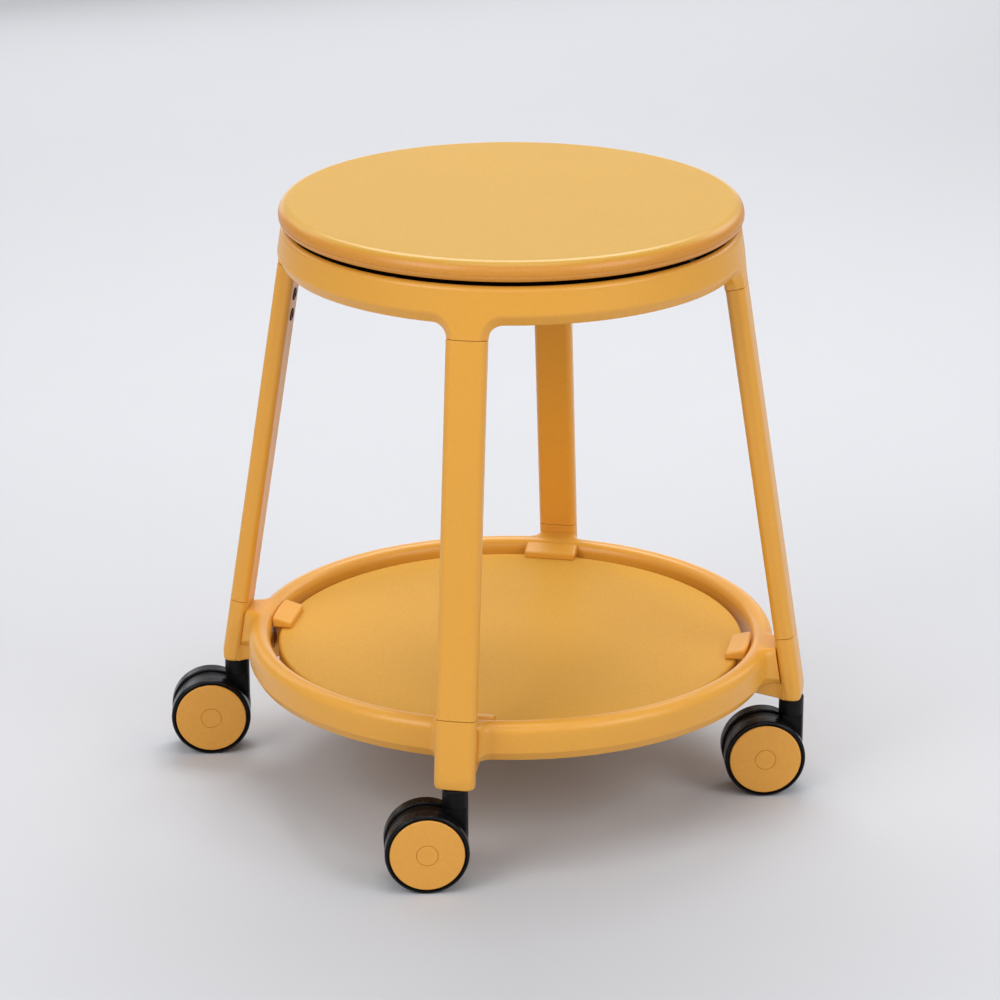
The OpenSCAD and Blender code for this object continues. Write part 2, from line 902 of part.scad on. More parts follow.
// The plate of a clip, its upper edges rounded: X runs outwards from its inner edge at the top
module clip_slab(h) {
    len = 2 * clip_len;
    intersection() {
        translate([0, clip_w / 2, 0])
            rotate([90, 0, 0])
                linear_extrude(height = clip_w)
                    translate([len / 2, -h / 2])
                        round_rect(len, h, clip_edge_r);
        translate([-cut, 0, -h / 2])
            rotate([90, 0, 90])
                linear_extrude(height = len + 2 * cut)
                    round_rect(clip_w, h, clip_edge_r);
    }
}

module tray_clips() {
    color(cap_col)
        for (k = [0:3])
            at_place(k)
                tray_clip();
}

// Three screws at each arm: one into the ring and two into the clip
module at_tray_screws() {
    translate([ring_bore_r + ring_w / 2, 0, ring_low_z - screw_seat_h])
        children();
    for (i = [-1, 1])
        translate([clip_leg_in_r + clip_leg_t / 2, i * clip_screw_off, tray_low_z - screw_seat_h])
            children();
}

module tray_screws() {
    color(steel_col)
        for (k = [0:3])
            at_place(k)
                at_tray_screws()
                    screw(tray_screw_len);
}

// Casters

// Puts its children, which trail towards -X, on the pivot of one caster and swivels them
module at_caster(k) {
    translate([pivot_r * cos(headings[k]), pivot_r * sin(headings[k]), 0])
        rotate([0, 0, caster_turn])
            children();
}

// A cylinder along Y, centred on the axle
module on_axle(r, y0, y1, fn) {
    translate([-trail, y0, wheel_r])
        rotate([-90, 0, 0])
            cylinder(h = y1 - y0, r = r, $fn = fn);
}

// The steel stems: a thick shank pressed into each foot and a thinner end in the barrel
module caster_stems() {
    color(steel_col)
        for (k = [0:3])
            at_caster(k)
                difference() {
                    union() {
                        translate([0, 0, foot_low_z])
                            cylinder(h = stem_shank_h, r = stem_shank_d / 2, $fn = small_fn);
                        translate([0, 0, foot_low_z - stem_h])
                            cylinder(h = stem_h, r = stem_d / 2, $fn = small_fn);
                    }
                    snap_groove();
                }
}

module snap_groove() {
    translate([0, 0, snap_ring_z])
        rotate_extrude($fn = small_fn)
            translate([stem_d / 2, 0])
                circle(r = snap_ring_d / 2, $fn = small_fn);
}

// The wire rings in the stems' grooves that keep the casters on
module stem_rings() {
    color(steel_col)
        for (k = [0:3])
            at_caster(k)
                translate([0, 0, snap_ring_z])
                    rotate_extrude($fn = small_fn)
                        translate([stem_d / 2, 0])
                            circle(r = snap_ring_d / 2, $fn = small_fn);
}

// A caster's body: the barrel, flattened between the wheels, and the hood over the axle
module caster_body(k) {
    color(black_col)
        at_caster(k)
            difference() {
                union() {
                    barrel();
                    intersection() {
                        on_axle(hood_r, -hood_w / 2, hood_w / 2, round_fn);
                        translate([-trail - wheel_d, -hood_w, hood_skirt_z])
                            cube([2 * wheel_d, 2 * hood_w, wheel_d]);
                    }
                    on_axle(axle_boss_r, -hood_w / 2, hood_w / 2, small_fn);
                }
                on_axle(axle_r, -hood_w, hood_w, small_fn);
                translate([0, 0, foot_low_z - stem_h - free_clear])
                    cylinder(h = stem_h + cut, r = stem_d / 2 + run_clear, $fn = small_fn);
                translate([0, 0, snap_ring_z])
                    rotate_extrude($fn = small_fn)
                        translate([stem_d / 2, 0])
                            circle(r = snap_ring_d / 2 + free_clear, $fn = small_fn);
            }
}

module barrel() {
    r = barrel_d / 2;
    round_z = wheel_d + hood_gap;
    intersection() {
        translate([0, 0, neck_low_z])
            cylinder(h = barrel_top_z - neck_low_z, r = r, $fn = small_fn);
        union() {
            translate([-barrel_d, -hood_w / 2, 0])
                cube([2 * barrel_d, hood_w, foot_low_z]);
            translate([0, 0, round_z])
                cylinder(h = barrel_top_z - round_z - barrel_edge, r = r + cut, $fn = small_fn);
            translate([0, 0, barrel_top_z - barrel_edge])
                cylinder(h = barrel_edge, r1 = r, r2 = r - barrel_edge, $fn = small_fn);
        }
    }
}

// The axle, pressed into the hood's boss, with a bevel at each end
module axle(k) {
    color(steel_col)
        at_caster(k) {
            on_axle(axle_r, -axle_end_y + axle_tip, axle_end_y - axle_tip, small_fn);
            for (i = [-1, 1])
                translate([-trail, i * (axle_end_y - axle_tip), wheel_r])
                    rotate([-90 * i, 0, 0])
                        cylinder(h = axle_tip, r1 = axle_r, r2 = axle_r - axle_tip, $fn = small_fn);
        }
}

// Stands a wheel's section on the axle: the section's Y is the distance outwards from the hood's middle
module on_wheel(k, side) {
    at_caster(k)
        translate([-trail, 0, wheel_r])
            rotate([side == 0 ? 90 : -90, 0, 0])
                children();
}

// A wheel's hub: rim, web and a boss that runs on the axle
module hub(k, side) {
    bore_r = axle_r + run_clear;
    color(black_col)
        on_wheel(k, side)
            difference() {
                rotate_extrude($fn = round_fn)
                    union() {
                        translate([hub_r - hub_rim_t, wheel_in_y])
                            square([hub_rim_t, cap_in_y - wheel_in_y]);
                        translate([0, wheel_in_y])
                            square([hub_r, hub_web_t]);
                        translate([0, wheel_in_y])
                            square([hub_boss_r, cap_in_y - wheel_in_y]);
                    }
                translate([0, 0, wheel_in_y - cut])
                    cylinder(h = axle_end_y + free_clear - wheel_in_y + cut, r = bore_r, $fn = small_fn);
            }
}

// A tyre: a tread with a rounded shoulder on its outer side
module tyre(k, side) {
    color(dark_col)
        on_wheel(k, side)
            rotate_extrude($fn = round_fn)
                difference() {
                    union() {
                        translate([hub_r, wheel_in_y])
                            square([tyre_t - tyre_shoulder_r, tyre_w]);
                        translate([hub_r, wheel_in_y + tyre_inner_r])
                            square([tyre_t, tyre_w - tyre_inner_r - tyre_shoulder_r]);
                        translate([wheel_r - tyre_shoulder_r, tyre_out_y - tyre_shoulder_r])
                            circle(r = tyre_shoulder_r, $fn = small_fn);
                        translate([wheel_r - tyre_inner_r, wheel_in_y + tyre_inner_r])
                            circle(r = tyre_inner_r, $fn = small_fn);
                    }
                    translate([hub_r - cut, cap_in_y])
                        square([cap_r + fit_clear - hub_r + cut, 2 * cap_t]);
                }
}

// A wheel cap: a flat disc with a bevelled edge, a fine ring in its middle and a spigot behind
module cap(k, side) {
    out_y = cap_in_y + cap_t;
    spigot_r = hub_r - hub_rim_t - fit_clear;
    color(cap_col)
        on_wheel(k, side)
            rotate_extrude($fn = round_fn)
                difference() {
                    union() {
                        polygon([
                            [0, cap_in_y],
                            [cap_r, cap_in_y],
                            [cap_r, out_y - cap_edge],
                            [cap_r - cap_edge, out_y],
                            [0, out_y]
                        ]);
                        translate([spigot_r - cap_spigot_t, cap_in_y - cap_spigot_h])
                            square([cap_spigot_t, cap_spigot_h]);
                    }
                    translate([cap_ring_d / 2 - cap_groove_w, out_y - cap_groove_deep])
                        square([cap_groove_w, cap_groove_deep + cut]);
                }
}

seat_top();
seat_plate();
seat_screws();
swivel_pin();
swivel_circlip();
upper_race();
frame_collar();
carrier_plate();
carrier_screws();
swivel_bush();
lower_race();
swivel_balls();
leg_screws();
tray_ring();
tray_disc();
tray_clips();
tray_screws();
caster_stems();
stem_rings();
for (k = [0:3]) {
    leg(k);
    foot(k);
    caster_body(k);
    axle(k);
}
for (k = [0:3], s = [0:1]) {
    hub(k, s);
    tyre(k, s);
    cap(k, s);
}
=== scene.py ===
import json
from math import asin, atan2, cos, pi, radians, sin, sqrt, tan

import bmesh
import bpy
from mathutils import Matrix, Vector


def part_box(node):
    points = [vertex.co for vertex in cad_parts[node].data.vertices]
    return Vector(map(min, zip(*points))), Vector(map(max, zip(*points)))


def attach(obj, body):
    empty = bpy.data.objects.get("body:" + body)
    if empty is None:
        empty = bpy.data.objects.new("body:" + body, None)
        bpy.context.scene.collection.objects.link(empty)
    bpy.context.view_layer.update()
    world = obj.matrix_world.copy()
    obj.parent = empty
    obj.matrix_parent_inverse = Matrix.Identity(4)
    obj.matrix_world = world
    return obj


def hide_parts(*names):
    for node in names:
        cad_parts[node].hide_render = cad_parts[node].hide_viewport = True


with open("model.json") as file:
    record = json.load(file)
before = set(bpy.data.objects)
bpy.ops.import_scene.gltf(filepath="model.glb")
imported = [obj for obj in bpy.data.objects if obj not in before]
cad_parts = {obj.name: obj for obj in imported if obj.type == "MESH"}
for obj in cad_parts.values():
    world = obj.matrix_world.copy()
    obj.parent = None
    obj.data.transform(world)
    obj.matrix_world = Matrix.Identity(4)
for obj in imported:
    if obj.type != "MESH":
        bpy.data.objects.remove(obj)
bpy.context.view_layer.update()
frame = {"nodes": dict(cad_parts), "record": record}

# Places round the stool with their headings, and the two wheels of a caster with their sides
HEADINGS = {"front": -pi / 2, "right": 0.0, "back": pi / 2, "left": pi}
SIDES = {"near": -1, "far": 1}

# Seat
seat_low, seat_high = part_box("seat_top")
plate_low, plate_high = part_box("seat_plate")
SEAT_R = seat_high.x
SEAT_EDGE_R = 0.0085
PARTING_STEP = 0.0003
PLATE_EDGE_R = 0.0046
SEAT_SEGMENTS = 256
SEAT_EDGE_STEPS = 14
PLATE_EDGE_STEPS = 10
SEAT_SPREAD_SHARES = (0.75, 0.5, 0.25)
# Depths below the seat's top between which the painted lit colour of the top takes over from the painted
# shade of its side
LIT_TOP_LOW_DROP = 0.0045
LIT_TOP_HIGH_DROP = 0.0005

# Legs
LEG_SPLAY = radians(8.93)
LEG_W = 0.029
LEG_T = 0.014
LEG_CORNER_R = 0.005
LEG_FACE_SHARES = (-0.3, 0.0, 0.3)
LEG_CORNER_STEPS = 10
LEG_STEPS = 24
LEG_HALF = LEG_T / 2 / cos(LEG_SPLAY)
SEAM_GAP = 0.0004
SEAM_EDGE_R = 0.0004
SEAM_STEPS = 3
FACE_BULGE_R = 0.170
leg_low, leg_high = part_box("leg_right")
LEG_LOW_Z = leg_low.z + LEG_T / 2 * sin(LEG_SPLAY)
LEG_HIGH_Z = leg_high.z - LEG_T / 2 * sin(LEG_SPLAY)
LEG_FOOT_R = leg_high.x - LEG_T / 2 * cos(LEG_SPLAY) + LEG_LOW_Z * tan(LEG_SPLAY)

# Collar
collar_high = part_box("frame_collar")[1]
COLLAR_TOP_DROP = 0.0010
COLLAR_LOW_DROP = 0.0286
COLLAR_TOP_Z = collar_high.z - COLLAR_TOP_DROP
COLLAR_LOW_Z = collar_high.z - COLLAR_LOW_DROP
COLLAR_BORE_R = 0.1565
COLLAR_TOP_R = 0.004
COLLAR_RIM_FLAT = 0.0005
STUB_SEAM_Z = LEG_HIGH_Z + SEAM_GAP
STUB_FILLET_R = 0.0105
BEVEL_SIDE = 0.0044
BEVEL_RISE = 0.0077
BEVEL_DEPTH = 0.0062
BEVEL_FADE = 0.0012
# Shares of the bevel's run and of its depth: at its soft upper edge, then down to its toe
BEVEL_EDGE_SHARE = 0.22
BEVEL_EDGE_SHARES = (1.0, 0.6, 0.2, -0.2, -0.6, -1.0)
BEVEL_TOE_SHARES = ((0.5, 0.5), (0.22, 0.78), (0.11, 0.90), (0.04, 1.0), (0.0, 1.14))
STUB_INNER_R = 0.003
LEDGE_IN = 0.009
LEDGE_DROP = 0.010
LEDGE_H = 0.006
CARRIER_TOP_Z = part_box("carrier_plate")[1].z
LEDGE_LOW_Z = CARRIER_TOP_Z - LEDGE_DROP
LEDGE_HIGH_Z = LEDGE_LOW_Z + LEDGE_H
FILLET_Y = LEG_W / 2 + STUB_FILLET_R
FILLET_Z = COLLAR_LOW_Z - STUB_FILLET_R

# Steps round a quarter of the collar or the tray ring, and over the collar's section
CAP_STEPS = 8
FILLET_STEPS = 14
ARC_STEPS = 14
COLLAR_FACE_STEPS = 6
COLLAR_TOP_STEPS = 8
COLLAR_UNDER_STEPS = 4

# Tray ring, tray and clips
ring_low, ring_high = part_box("tray_ring")
RING_LOW_Z = ring_low.z
RING_TOP_Z = ring_high.z
LUG_REACH = 0.0073
RING_R = LEG_FOOT_R - (RING_LOW_Z + RING_TOP_Z) / 2 * tan(LEG_SPLAY) - LEG_HALF - LUG_REACH
RING_W = 0.0157
RING_BORE_R = RING_R - RING_W
CROWN_R = (RING_R - RING_BORE_R) / 2
RING_BEVEL_H = 0.0065
RING_BEVEL_D = 0.004
RING_BEVEL_SHARES = ((0.07, 0.92), (0.0, 1.06))
RING_TOE_SHARE = 0.93
RING_TOE_H = 0.0001
RING_TOE_R = 0.0012
RING_BORE_H = 0.008
LUG_HALF = 0.015
LUG_FILLET_R = 0.010
LUG_EDGE_R = 0.0045
LUG_GAP = 0.00025
LUG_FADE_SHARE = 1.15
LUG_BEVEL_H_LESS = 0.0025
LUG_BEVEL_D_LESS = 0.001
LUG_Y = LUG_HALF + LUG_FILLET_R
LUG_X = sqrt((RING_R + LUG_FILLET_R) ** 2 - LUG_Y ** 2)
RING_WALL_STEPS = 3
RING_EDGE_STEPS = 8
RING_TOP_STEPS = 3
RING_CROWN_STEPS = 12
tray_low, tray_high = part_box("tray_disc")
TRAY_GAP = 0.0065
TRAY_R = RING_BORE_R - TRAY_GAP
TRAY_EDGE_R = 0.0024
TRAY_EDGE_STEPS = 8
TRAY_TOE = 0.0003
TRAY_RIM = 0.0075
TRAY_SKIN = 0.004
TRAY_SPREAD_SHARES = (0.9, 0.7, 0.45, 0.2, 0.0)
NOTCH_GAP = 0.0003
NOTCH_REACH = 0.005
CUT_OVER = 0.002
RIB_T = 0.0024
RIB_HUB_R = 0.030
RIB_HUB_SEGMENTS = 64
RIB_RING_SEGMENTS = 128
RIB_ZONES = 3
RIBS_PER_STEP = 6
RIB_BITE = 0.0002
RIB_LIFT = 0.0005
RIB_LOW_Z = tray_low.z + RIB_LIFT
RIB_HIGH_Z = tray_high.z - TRAY_SKIN + RIB_BITE
RIB_H = RIB_HIGH_Z - RIB_LOW_Z
RIB_MIDDLE_Z = (RIB_HIGH_Z + RIB_LOW_Z) / 2
RIB_PITCH = (TRAY_R - TRAY_RIM - RIB_HUB_R) / RIB_ZONES
CLIP_W = 0.040
CLIP_GAP = 0.0003
CLIP_LEN = 0.0155
CLIP_OUT_R = RING_BORE_R - CLIP_GAP
CLIP_IN_R = CLIP_OUT_R - CLIP_LEN
CLIP_RISE = 0.0045
CLIP_FALL = radians(14.5)
CLIP_EDGE_R = 0.0018
CLIP_TOE_R = 0.0004
CLIP_STEPS = 12
CLIP_LEG_STEPS = 6
CLIP_LEG_W = 0.030
CLIP_LEG_T = 0.0065
CLIP_LEG_GAP = 0.003
CLIP_LEG_EDGE_R = 0.0008
CLIP_LEG_TOE_R = 0.0005
CLIP_LEG_TOP_R = 0.0001
CLIP_LEG_BITE = 0.0002
CLIP_LEG_OUT_R = RING_BORE_R - CLIP_LEG_GAP
CLIP_LEG_IN_R = CLIP_LEG_OUT_R - CLIP_LEG_T

# Feet and leg screws
FOOT_LOW_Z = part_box("foot_right")[0].z
FOOT_SIDE_R = 0.002
FOOT_RIM_R = 0.0012
FOOT_DRAW = 0.0017
FOOT_DRAW_H = 0.0085
FOOT_DRAW_POWER = 1.4
FOOT_LEVEL_H = 0.012
FOOT_LEVELS = [0.004, 0.006, 0.0085, 0.012, 0.018, 0.024, 0.032, 0.040]
FOOT_RIM_STEPS = 6
FOOT_CORNER_STEPS = 8
ARM_W = 0.0226
ARM_REACH = 0.0178
ARM_END_R = RING_BORE_R - ARM_REACH
ARM_STEP_R = 0.1793
ARM_STEP_LEN = 0.0001
ARM_LIFT = 0.00005
ARM_RISE = 0.17
ARM_EDGE_R = 0.0012
ARM_CORNER_SHARE = 0.8
ARM_FLARE = 0.0022
ARM_FLARE_LEN = 0.0065
ARM_FLARE_STEPS = 6
ARM_BITE = 0.004
LEG_SCREW_R = 0.0048
LEG_SCREW_H = 0.0008
LEG_SCREW_SINK = 0.0004
LEG_SCREW_RIM_SHARES = ((1.0, 0.45), (0.93, 0.85), (0.8, 1.0))
LEG_SCREW_KEY_R = 0.0021
LEG_SCREW_KEY_D = 0.0006
LEG_SCREW_KEY_SIDES = 6
LEG_SCREW_SEGMENTS = 48
SCREWS_PER_LEG = 2
LEG_SCREW_DROP = 0.024
LEG_SCREW_PITCH = 0.016
LEG_SCREW_FIRST = LEG_HIGH_Z / cos(LEG_SPLAY) - LEG_SCREW_DROP

# Casters. At rest every caster is turned a little from trailing straight to the left.
PIVOT_R = 0.212029
TRAIL = 0.0205
CASTER_TURN = radians(14)

# Wheels
tyre_low, tyre_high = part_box("tyre_right_far")
WHEEL_R = (tyre_high.z - tyre_low.z) / 2
WHEEL_IN = 0.0063
TYRE_OUT = 0.0178
CAP_OUT = 0.0184
cap_low, cap_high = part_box("cap_right_far")
CAP_R = (cap_high.z - cap_low.z) / 2
CAP_T = 0.0018
CAP_BEVEL = 0.0007
CAP_SOFT = 0.0002
CAP_STEP = 0.0001
CAP_FACE_SHARE = 0.6
# The fine ring pressed into the cap's face
CAP_RING_R = 0.008
CAP_RING_W = 0.0006
CAP_RING_D = 0.0006
CAP_SEGMENTS = 128
# The shadow gap between cap and tyre
CAP_GAP = 0.0014
CAP_GAP_D = 0.0022
TYRE_SHOULDER_R = 0.0021
TYRE_INNER_R = 0.0012
TYRE_STEPS = 8
HUB_R = 0.0255
HUB_BACK = 0.003
HUB_BORE_R = 0.0031
HUB_BOSS_R = 0.0075
HUB_RIM_W = 0.003
HUB_SLOPE = 0.001
HUB_DISH = 0.0016
HUB_DISH_R = 0.0005
HUB_SOFT_R = 0.0003
HUB_SEGMENTS = 96
HUB_STEPS = 4
EDGE_R = 0.0004
INNER_EDGE_R = 0.0002

# Caster bodies
HOOD_HALF = 0.006
HOOD_R = 0.0284
HOOD_RIM_R = 0.0010
HOOD_TOE_R = 0.0005
HOOD_SKIRT = 0.006
HOOD_SEGMENTS = 56
AXLE_BOSS_R = 0.011
AXLE_BOSS_EDGE = 0.0004
AXLE_BOSS_SHARE = 0.995
AXLE_BOSS_SEGMENTS = 64
BARREL_R = 0.00925
BARREL_TOP_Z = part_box("caster_right")[1].z
BARREL_EDGE_R = 0.0009
BARREL_EDGE_STEPS = 4
BARREL_BITE = 0.002
BARREL_FLAT_GAP = 0.0001
BARREL_FLAT_RISE = 0.0006
BARREL_FLAT_EDGE = 0.0004
BARREL_SEGMENTS = 72

# Camera of the photograph, in the frame that faces it; the stool is turned in that frame
STOOL_TURN = radians(10.755)
CAMERA_AT = Vector((-0.00808, -2.72886, 1.1911))
CAMERA_PITCH = radians(19.71)
FOCAL_PIXELS = 3916.6
PHOTO_PIXELS = 1000
STOOL_SPIN = Matrix.Rotation(STOOL_TURN, 3, "Z")
SENSOR_MM = 36.0
FARTHEST = 50.0

# Studio. A lamp has its place in the frame that faces the camera, its size and its power.
LAMPS = {
    "overhead": ((0.0, 1.3, 2.1), (1.7, 0.9), 31),
    "overhead_front": ((0.0, -0.45, 2.5), (1.3, 0.7), 9),
    "key": ((-1.8, -1.8, 1.9), (1.6, 1.6), 31),
    "fill": ((2.1, -1.7, 1.7), (1.6, 1.6), 27),
    "front": ((0.1, -2.6, 2.0), (1.6, 1.0), 8),
    "back": ((-0.3, 2.4, 0.45), (2.2, 0.6), 5),
    "back_left": ((-1.8, 1.8, 1.8), (1.4, 1.2), 7),
    "back_right": ((1.9, 1.8, 1.6), (1.4, 1.2), 12),
}
LAMP_AIM = Vector((0, 0, 0.25))
DAYLIGHT = 0.42
FLOOR_HALF_W = 9.0
FLOOR_FRONT_Y = -6.0
WALL_Y = 3.4
WALL_TOP_Z = 6.0
WALL_CURVE_R = 1.4
WALL_STEPS = 24

# Meshes
CORNER_STEPS = 6
RIM_STEPS = 4
ROUND_SEGMENTS = 192
MERGE = 1e-6
RING_MERGE = 2e-6
ON_AXIS = 1e-7
LEAST_R = 2e-5
SHARP_ANGLE = radians(34)
FLAT_WEIGHT = 80


# The radius of a leg's centre line, outer face and inner face at a height

def leg_r(z):
    return LEG_FOOT_R - z * tan(LEG_SPLAY)


def outer_r(z):
    return leg_r(z) + LEG_HALF


def inner_r(z):
    return leg_r(z) - LEG_HALF


# Mesh helpers

def linked(name, data):
    """A new object in the scene."""
    obj = bpy.data.objects.new(name, data)
    bpy.context.scene.collection.objects.link(obj)
    return obj


def applied(obj):
    """A new mesh of the object, as its modifiers leave it."""
    graph = bpy.context.evaluated_depsgraph_get()
    return bpy.data.meshes.new_from_object(obj.evaluated_get(graph))


def quarter(steps, first=0):
    """Even steps of angle from nothing to a right angle."""
    return [k / steps * pi / 2 for k in range(first, steps + 1)]


def skin(rings, loop=False):
    """Vertices and faces over closed rings of points: the two ends are capped or, with loop, joined."""
    points, index = [], []
    for ring in rings:
        index.append(range(len(points), len(points) + len(ring)))
        points.extend(ring)
    pairs = list(zip(index, index[1:])) + ([(index[-1], index[0])] if loop else [])
    faces = []
    for a, b in pairs:
        count = max(len(a), len(b))
        for i in range(count):
            j = (i + 1) % count
            corners = (a[i % len(a)], a[j % len(a)], b[j % len(b)], b[i % len(b)])
            faces.append(list(dict.fromkeys(corners)))
    if not loop:
        faces.extend(list(end) for end in (index[0], index[-1]) if len(end) > 2)
    return points, faces


def make(name, *shells, merge=MERGE):
    """An object from shells of points and faces, smooth but for its sharp edges."""
    points, faces = [], []
    for shell_points, shell_faces in shells:
        start = len(points)
        points.extend(shell_points)
        faces.extend([start + i for i in face] for face in shell_faces)
    mesh = bpy.data.meshes.new(name)
    mesh.from_pydata([tuple(p) for p in points], [], faces)
    bm = bmesh.new()
    bm.from_mesh(mesh)
    bmesh.ops.remove_doubles(bm, verts=bm.verts, dist=merge)
    bmesh.ops.dissolve_degenerate(bm, edges=bm.edges, dist=merge)
    bmesh.ops.recalc_face_normals(bm, faces=bm.faces)
    bm.to_mesh(mesh)
    bm.free()
    obj = linked(name, mesh)
    smooth(obj)
    return obj


def smooth(obj):
    """Smooth shading with sharp edges, and normals that keep the flat faces flat."""
    mesh = obj.data
    mesh.polygons.foreach_set("use_smooth", [True] * len(mesh.polygons))
    mesh.set_sharp_from_angle(angle=SHARP_ANGLE)
    normals = obj.modifiers.new("flat faces", "WEIGHTED_NORMAL")
    normals.keep_sharp = True
    normals.weight = FLAT_WEIGHT


def combined(obj, shells, operation):
    """The object joined with, or cut by, more closed shells."""
    for shell in shells:
        other = make("part", shell)
        change = obj.modifiers.new("change", "BOOLEAN")
        change.operation = operation
        change.object = other
        change.solver = "EXACT"
        obj.modifiers.remove(obj.modifiers["flat faces"])
        mesh = applied(obj)
        obj.modifiers.clear()
        obj.data = mesh
        bpy.data.objects.remove(other)
        smooth(obj)
    return obj


def inset(corners, depth):
    """The outline's corners moved inwards, with their radii to match. The outline runs anticlockwise."""
    moved = []
    count = len(corners)
    for i, (x, y, radius) in enumerate(corners):
        before = Vector(corners[i - 1][:2])
        here = Vector((x, y))
        after = Vector(corners[(i + 1) % count][:2])
        a = (here - before).normalized()
        b = (after - here).normalized()
        normal_a = Vector((-a.y, a.x))
        normal_b = Vector((-b.y, b.x))
        turn = a.x * b.y - a.y * b.x
        shift = (normal_a + normal_b) / (1 + normal_a.dot(normal_b)) * depth
        rounder = radius - depth if turn > 0 else radius + depth
        changed = max(rounder, LEAST_R) if radius else 0
        moved.append((here.x + shift.x, here.y + shift.y, changed))
    return moved


def outline(corners, steps=CORNER_STEPS):
    """A closed line through (x, y, radius) corners: each corner with a radius becomes an arc."""
    line = []
    count = len(corners)
    for i, (x, y, radius) in enumerate(corners):
        here = Vector((x, y))
        if not radius:
            line.append(here)
            continue
        to_before = (Vector(corners[i - 1][:2]) - here).normalized()
        to_after = (Vector(corners[(i + 1) % count][:2]) - here).normalized()
        half = to_before.angle(to_after) / 2
        reach = radius / tan(half)
        centre = here + (to_before + to_after).normalized() * radius / sin(half)
        start = here + to_before * reach - centre
        end = here + to_after * reach - centre
        first = atan2(start.y, start.x)
        sweep = (atan2(end.y, end.x) - first + pi) % (2 * pi) - pi
        for k in range(steps + 1):
            angle = first + sweep * k / steps
            line.append(centre + Vector((cos(angle), sin(angle))) * radius)
    return line


def slab(corners, low, high, edge_r, place, steps=CORNER_STEPS, edge_steps=RIM_STEPS, between=1):
    """A solid between two heights over an outline, with both its rims rounded."""
    levels = [(low + edge_r * (1 - cos(a)), edge_r * (1 - sin(a))) for a in quarter(edge_steps)]
    top = [(low + high - height, depth) for height, depth in reversed(levels)]
    span = top[0][0] - levels[-1][0]
    middle = [(levels[-1][0] + span * k / between, 0.0) for k in range(1, between)]
    rings = []
    for height, depth in levels + middle + top:
        rings.append([place(p.x, p.y, height) for p in outline(inset(corners, depth), steps)])
    return skin(rings)


def turned(profile, place, segments=ROUND_SEGMENTS, loop=False):
    """A turned solid: a line of (radius, height) points swept round. Points on the axis become poles."""
    rings = []
    for radius, height in profile:
        if radius < ON_AXIS:
            rings.append([place(0.0, 0.0, height)])
            continue
        angles = [2 * pi * i / segments for i in range(segments)]
        rings.append([place(radius * cos(a), radius * sin(a), height) for a in angles])
    return skin(rings, loop)


def upright(x, y, z):
    """The plainest placing function: the stool's own axes."""
    return Vector((x, y, z))


def at_heading(heading, at=Vector((0, 0, 0))):
    """A placing function: x runs outwards along the heading, y across it, z up."""
    turn = Matrix.Rotation(heading, 3, "Z")
    return lambda x, y, z: at + turn @ Vector((x, y, z))


def bulged(place):
    """The same placing with faces that bow outwards gently in the middle."""
    return lambda x, y, z: place(x - y * y / (2 * FACE_BULGE_R), y, z)


# Node helpers

def new_tree(name, tree_kind, inputs, outputs):
    """A node tree with named sockets, given as (name, kind, default) and (name, kind). It comes with the
    sockets that its own nodes read from and write to."""
    tree = bpy.data.node_groups.new(name, tree_kind)
    for label, kind, default in inputs:
        item = tree.interface.new_socket(label, in_out="INPUT", socket_type="NodeSocket" + kind)
        if default is not None:
            item.default_value = default
    for label, kind in outputs:
        tree.interface.new_socket(label, in_out="OUTPUT", socket_type="NodeSocket" + kind)
    return tree, tree.nodes.new("NodeGroupInput").outputs, tree.nodes.new("NodeGroupOutput").inputs


def feed(tree, sockets, values):
    """Sockets, by name or number, take a value, another socket, or a node's first output."""
    for key, value in values.items():
        if isinstance(value, bpy.types.Node):
            value = next(socket for socket in value.outputs if not socket.is_unavailable)
        if isinstance(value, bpy.types.NodeSocket):
            tree.links.new(value, sockets[key])
        else:
            sockets[key].default_value = value


def add(tree, kind, values=None, **settings):
    """A node with its settings made and its inputs fed."""
    node = tree.nodes.new(kind)
    for key, value in settings.items():
        setattr(node, key, value)
    feed(tree, node.inputs, values or {})
    return node


def calc(tree, operation, *values):
    """A maths node on two or three values, sockets or nodes."""
    return add(tree, "ShaderNodeMath", dict(enumerate(values)), operation=operation)


def ended(tree, out, pieces, material):
    """A geometry tree's last nodes: the pieces joined, made real and given their material."""
    gather = add(tree, "GeometryNodeJoinGeometry")
    for piece in pieces:
        feed(tree, gather.inputs, {"Geometry": piece})
    real = add(tree, "GeometryNodeRealizeInstances", {"Geometry": gather})
    dressed = add(tree, "GeometryNodeSetMaterial", {"Geometry": real, "Material": material})
    feed(tree, out, {"Geometry": dressed})


def grown(name, tree, values, material):
    """The mesh that a geometry node tree makes from its inputs, as a plain object."""
    holder = linked(name + "_holder", bpy.data.meshes.new(name + "_holder"))
    modifier = holder.modifiers.new("grow", "NODES")
    modifier.node_group = tree
    sockets = {item.name: item.identifier for item in tree.interface.items_tree if item.in_out == "INPUT"}
    for label, value in {**values, "Material": material}.items():
        modifier[sockets[label]] = value
    mesh = applied(holder)
    bpy.data.objects.remove(holder)
    mesh.name = name
    return linked(name, mesh)


# Shader node groups

def noise(tree, where, scale, detail, roughness):
    """A noise pattern at a place, with so many cells to the metre."""
    return add(tree, "ShaderNodeTexNoise",
               {"Vector": where, "Scale": scale, "Detail": detail, "Roughness": roughness})


